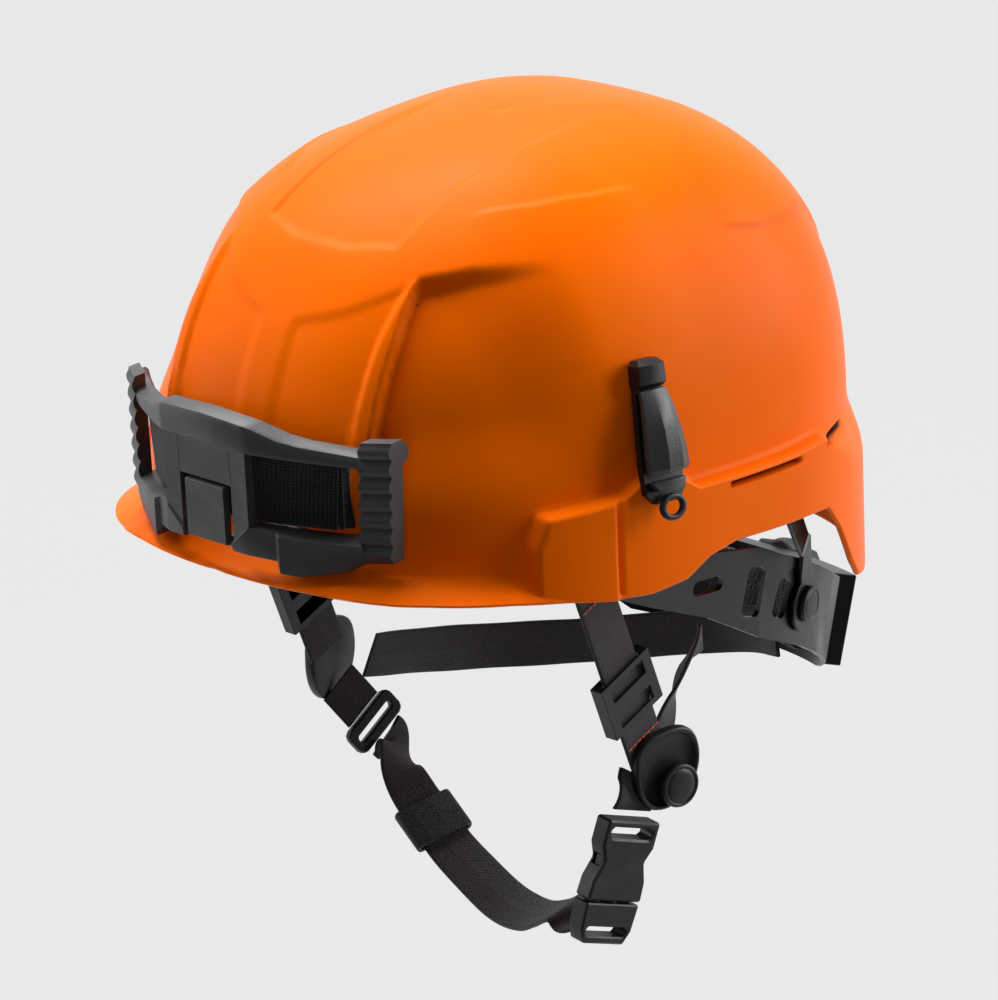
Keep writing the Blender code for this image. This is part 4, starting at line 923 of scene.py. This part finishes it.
# stations of the clip from its top down: level, half width, and the heights of back, edge and crest
CLIP_PLATE = (
    (0.0225, 0.0052, 0.0008, 0.0028, 0.0032), (0.0100, 0.0070, 0.0020, 0.0045, 0.0050),
    (-0.0130, 0.0096, 0.0035, 0.0060, 0.0063), (-0.0240, 0.0096, 0.0045, 0.0074, 0.0077),
    (-0.0280, 0.0060, 0.0050, 0.0074, 0.0078))
CLIP_HOOK = (
    (0.0255, 0.0046, 0.0012, 0.0052, 0.0060), (0.0235, 0.0062, 0.0010, 0.0074, 0.0084),
    (0.0165, 0.0066, 0.0014, 0.0072, 0.0080), (0.0145, 0.0064, 0.0016, 0.0050, 0.0056))
CLIP_ARM = (
    (0.0142, 0.0062, 0.0052, 0.0066, 0.0074), (0.0090, 0.0070, 0.0064, 0.0084, 0.0100),
    (0.0000, 0.0084, 0.0078, 0.0100, 0.0132), (-0.0090, 0.0096, 0.0086, 0.0108, 0.0142),
    (-0.0150, 0.0098, 0.0090, 0.0110, 0.0138), (-0.0166, 0.0090, 0.0094, 0.0108, 0.0126))
CLIP_FOOT = (
    (-0.0196, 0.0082, 0.0074, 0.0100, 0.0106), (-0.0212, 0.0074, 0.0074, 0.0108, 0.0124),
    (-0.0232, 0.0054, 0.0074, 0.0104, 0.0112))


def faceted(name, place, stations, paint, node):
    """A loft along the clip: at each level its half width, the heights of its back, edge and crest,
    with one ridge off the middle, so that the light breaks on plain facets."""
    rings = []
    for level, half, low, edge, crest in stations:
        section = ((low, -half), (edge, -half), (crest, -half * 0.45), (crest, half * 0.25), (edge, half),
                   (low, half))
        rings.append([(height, level, across) for height, across in section])
    fit(skin(name, placed(place, np.array(rings)), paint, 18.0), node)


def make_clips():
    for side, sign in (("left", 1), ("right", -1)):
        place = clip_frame(sign)
        base = f"clip_base_{side}"
        for part, stations, paint, node in (("plate", CLIP_PLATE, BLACK, base),
                                            ("hook", CLIP_HOOK, BLACK, base),
                                            ("arm", CLIP_ARM, ARM, f"clip_lever_{side}"),
                                            ("foot", CLIP_FOOT, ARM, base)):
            faceted(f"clip_{part}_{side}", place, stations, paint, node)
        turn = np.linspace(0, 2 * math.pi, 40, endpoint=False)
        tube = np.linspace(0, 2 * math.pi, 12, endpoint=False)
        reach = 0.0040 + 0.0012 * np.cos(tube)[None, :]
        ring = np.stack([0.0100 + 0.0012 * np.sin(tube)[None, :] + 0 * turn[:, None],
                         -0.0298 + reach * np.sin(turn)[:, None], reach * np.cos(turn)[:, None] * 1.25], -1)
        fit(skin(f"clip_ring_{side}", placed(place, ring), DARK, 60.0, closed=True), base)


def stitches():
    """Rows of coral thread across the near front strap, below the rim and under the glide."""
    top, low = Vector(STRAP_TOP), Vector(STRAP_FOOT)
    along = (low - top).normalized()
    across = along.cross(Vector((1, 0, 0)))
    for number, share in enumerate((0.205, 0.905)):
        middle = top.lerp(low, share) + Vector((WEBBING_THICKNESS / 2 + 0.0001, 0, 0))
        for part in range(7):
            start = (part - 3.42) * 0.0027
            points = [middle + across * start, middle + across * (start + 0.0010) + Vector((0.0003, 0, 0)),
                      middle + across * (start + 0.0021)]
            made = strap(f"stitch_{number}_{part}", points, [(1, 0, 0)] * 3, THREAD, 0.0009, 0.0006, 4)
            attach(made, "helmet")


# ---------------------------------------------------------------- pads
def cushion(node, cap):
    """A pad swollen by a cloth simulation, its seams held by a cap on how far any point may move."""
    mesh = bmesh.new()
    mesh.from_mesh(frame["nodes"][node].data)
    bmesh.ops.remove_doubles(mesh, verts=mesh.verts, dist=1e-6)
    data = bpy.data.meshes.new(node + "_cushion")
    mesh.to_mesh(data)
    mesh.free()
    made = bpy.data.objects.new(node + "_cushion", data)
    bpy.context.scene.collection.objects.link(made)
    bpy.context.view_layer.objects.active = made
    remesh = made.modifiers.new("voxels", "REMESH")
    remesh.mode = "VOXEL"
    remesh.voxel_size = 0.0016
    bpy.ops.object.select_all(action="DESELECT")
    made.select_set(True)
    bpy.ops.object.modifier_apply(modifier="voxels")
    before = np.zeros(len(made.data.vertices) * 3)
    made.data.vertices.foreach_get("co", before)
    cloth = made.modifiers.new("swell", "CLOTH")
    cloth.settings.use_pressure = True
    cloth.settings.uniform_pressure_force = 4.0
    cloth.settings.effector_weights.gravity = 0.0
    cloth.settings.quality = 4
    for number in range(1, 13):
        bpy.context.scene.frame_set(number)
    bpy.ops.object.modifier_apply(modifier="swell")
    bpy.context.scene.frame_set(1)
    after = np.zeros_like(before)
    made.data.vertices.foreach_get("co", after)
    move = np.nan_to_num((after - before).reshape(-1, 3))
    length = np.maximum(np.linalg.norm(move, axis=1, keepdims=True), 1e-9)
    move *= np.minimum(length, cap) / length
    made.data.vertices.foreach_set("co", (before + move.ravel()).astype(np.float32))
    smooth = made.modifiers.new("relax", "SMOOTH")
    smooth.factor = 0.5
    smooth.iterations = 4
    bpy.ops.object.modifier_apply(modifier="relax")
    made.data.materials.clear()
    made.data.materials.append(PAD)
    made.data.shade_smooth()
    fit(made, node)


make_bracket()
make_clips()
make_dividers()
stitches()
for side in ("left", "right"):
    softened(f"strap_anchor_{side}", BLACK)
    softened(f"strap_glide_{side}", DARK, 0.0009, 3)
    softened(f"headband_clip_front_{side}", BLACK)
    softened(f"headband_clip_rear_{side}", BLACK)
    softened(f"hanger_{side}", NAPE)
    button(f"eyelet_{side}", f"hanger_rivet_{side}", 0.0074, 0.0022, DARK)
    softened(f"band_rack_{side}", BLACK, 0.00015, 1)
for name in ("headband", "nape_cradle", "ratchet_cover"):
    softened(name, NAPE, 0.0006, 3)
softened("ratchet_knob", DARK, 0.0005)
softened("ratchet_pinion", STEEL, 0.00015, 1)
for name in ("buckle_female", "buckle_male", "chin_adjuster"):
    softened(name, DARK, 0.0010, 3)
cushion("crown_pad", 0.0012)
cushion("brow_pad", 0.0006)
cushion("nape_pad", 0.0006)
make_shell()
make_liner()
make_straps()


# ---------------------------------------------------------------- stage, lights and camera
def make_stage():
    """A pale sweep: a floor that rises into a backdrop behind the helmet."""
    drop = -0.62
    turn = math.radians(VIEW_AZIMUTH)
    back = np.array([math.sin(turn), -math.cos(turn)])
    side = np.array([math.cos(turn), math.sin(turn)])
    curve = [(0.5, drop), (0.0, drop), (-2.0, drop)]
    curve += [(-2.0 - 1.5 * math.sin(t), drop + 1.5 * (1 - math.cos(t)))
              for t in np.linspace(0.1, math.pi / 2, 14)]
    curve.append((-3.5, 5.0))
    rows = [[(*(back * reach + side * across), level) for across in np.linspace(-5, 5, 9)]
            for reach, level in curve]
    paper = Finish("paper_sweep", (0.02, 0.02, 0.02), 0.9, Specular_IOR_Level=0.0, Emission_Strength=1.0)
    glow = paper.blend(paper.noise(3.0, 2.0), (0.785, 0.785, 0.785), (0.80, 0.80, 0.80))
    paper.put(paper.shader, "Emission Color", glow)
    faces = grid_faces(len(rows), 9, wrap=False).tolist()
    made = add_mesh("floor_sweep", np.array(rows), faces, paper.material)


def area_light(name, place, target, size, power, colour=(1.0, 1.0, 1.0)):
    lamp = bpy.data.lights.new(name, "AREA")
    lamp.shape = "RECTANGLE"
    lamp.size, lamp.size_y = size
    lamp.energy = power
    lamp.color = colour
    made = bpy.data.objects.new(name, lamp)
    made.location = place
    made.rotation_euler = (Vector(target) - Vector(place)).to_track_quat("-Z", "Y").to_euler()
    bpy.context.scene.collection.objects.link(made)


def make_lights():
    turn = math.radians(VIEW_AZIMUTH)
    back = Vector((math.sin(turn), -math.cos(turn), 0))
    right = Vector((math.cos(turn), math.sin(turn), 0))
    middle = Vector((0, 0, 0.05))
    # name, distances to the right, towards the camera and up, size, power
    for name, aside, near, above, size, power in (("top_softbox", -0.25, -0.50, 1.45, (1.3, 1.3), 44),
                                                  ("right_softbox", 1.5, -0.25, 0.45, (1.0, 1.2), 24),
                                                  ("left_softbox", -1.5, -0.1, 0.6, (0.8, 1.4), 11),
                                                  ("front_fill", 0.0, 2.0, 0.25, (1.6, 1.2), 3.5)):
        place = middle + right * aside + back * near + Vector((0, 0, above))
        area_light(name, place, middle, size, power)
    world = bpy.data.worlds.new("studio")
    world.use_nodes = True
    world.node_tree.nodes["Background"].inputs[0].default_value = (0.92, 0.93, 0.95, 1)
    world.node_tree.nodes["Background"].inputs[1].default_value = 0.08
    bpy.context.scene.world = world


def make_camera():
    azimuth = math.radians(VIEW_AZIMUTH)
    elevation = math.radians(VIEW_ELEVATION)
    roll = math.radians(VIEW_ROLL)
    back = Vector((math.sin(azimuth) * math.cos(elevation), -math.cos(azimuth) * math.cos(elevation),
                   math.sin(elevation)))
    right = Vector((math.cos(azimuth), math.sin(azimuth), 0))
    up = back.cross(right)
    across = right * math.cos(roll) + up * math.sin(roll)
    above = up * math.cos(roll) - right * math.sin(roll)
    lens = bpy.data.cameras.new("camera")
    lens.lens = VIEW_LENS
    lens.sensor_width = 36.0
    lens.clip_end = 50.0
    made = bpy.data.objects.new("camera", lens)
    eye = VIEW_TARGET + back * VIEW_DISTANCE
    aim = VIEW_TARGET - across * VIEW_OFFSET[0] - above * VIEW_OFFSET[1]
    outward = (eye - aim).normalized()
    across = above.cross(outward).normalized()
    turned_to = Matrix((across, outward.cross(across), outward)).transposed().to_4x4()
    turned_to.translation = eye
    made.matrix_world = turned_to
    bpy.context.scene.collection.objects.link(made)
    bpy.context.scene.camera = made
    bpy.context.scene.view_settings.view_transform = "Standard"


make_stage()
make_lights()
make_camera()
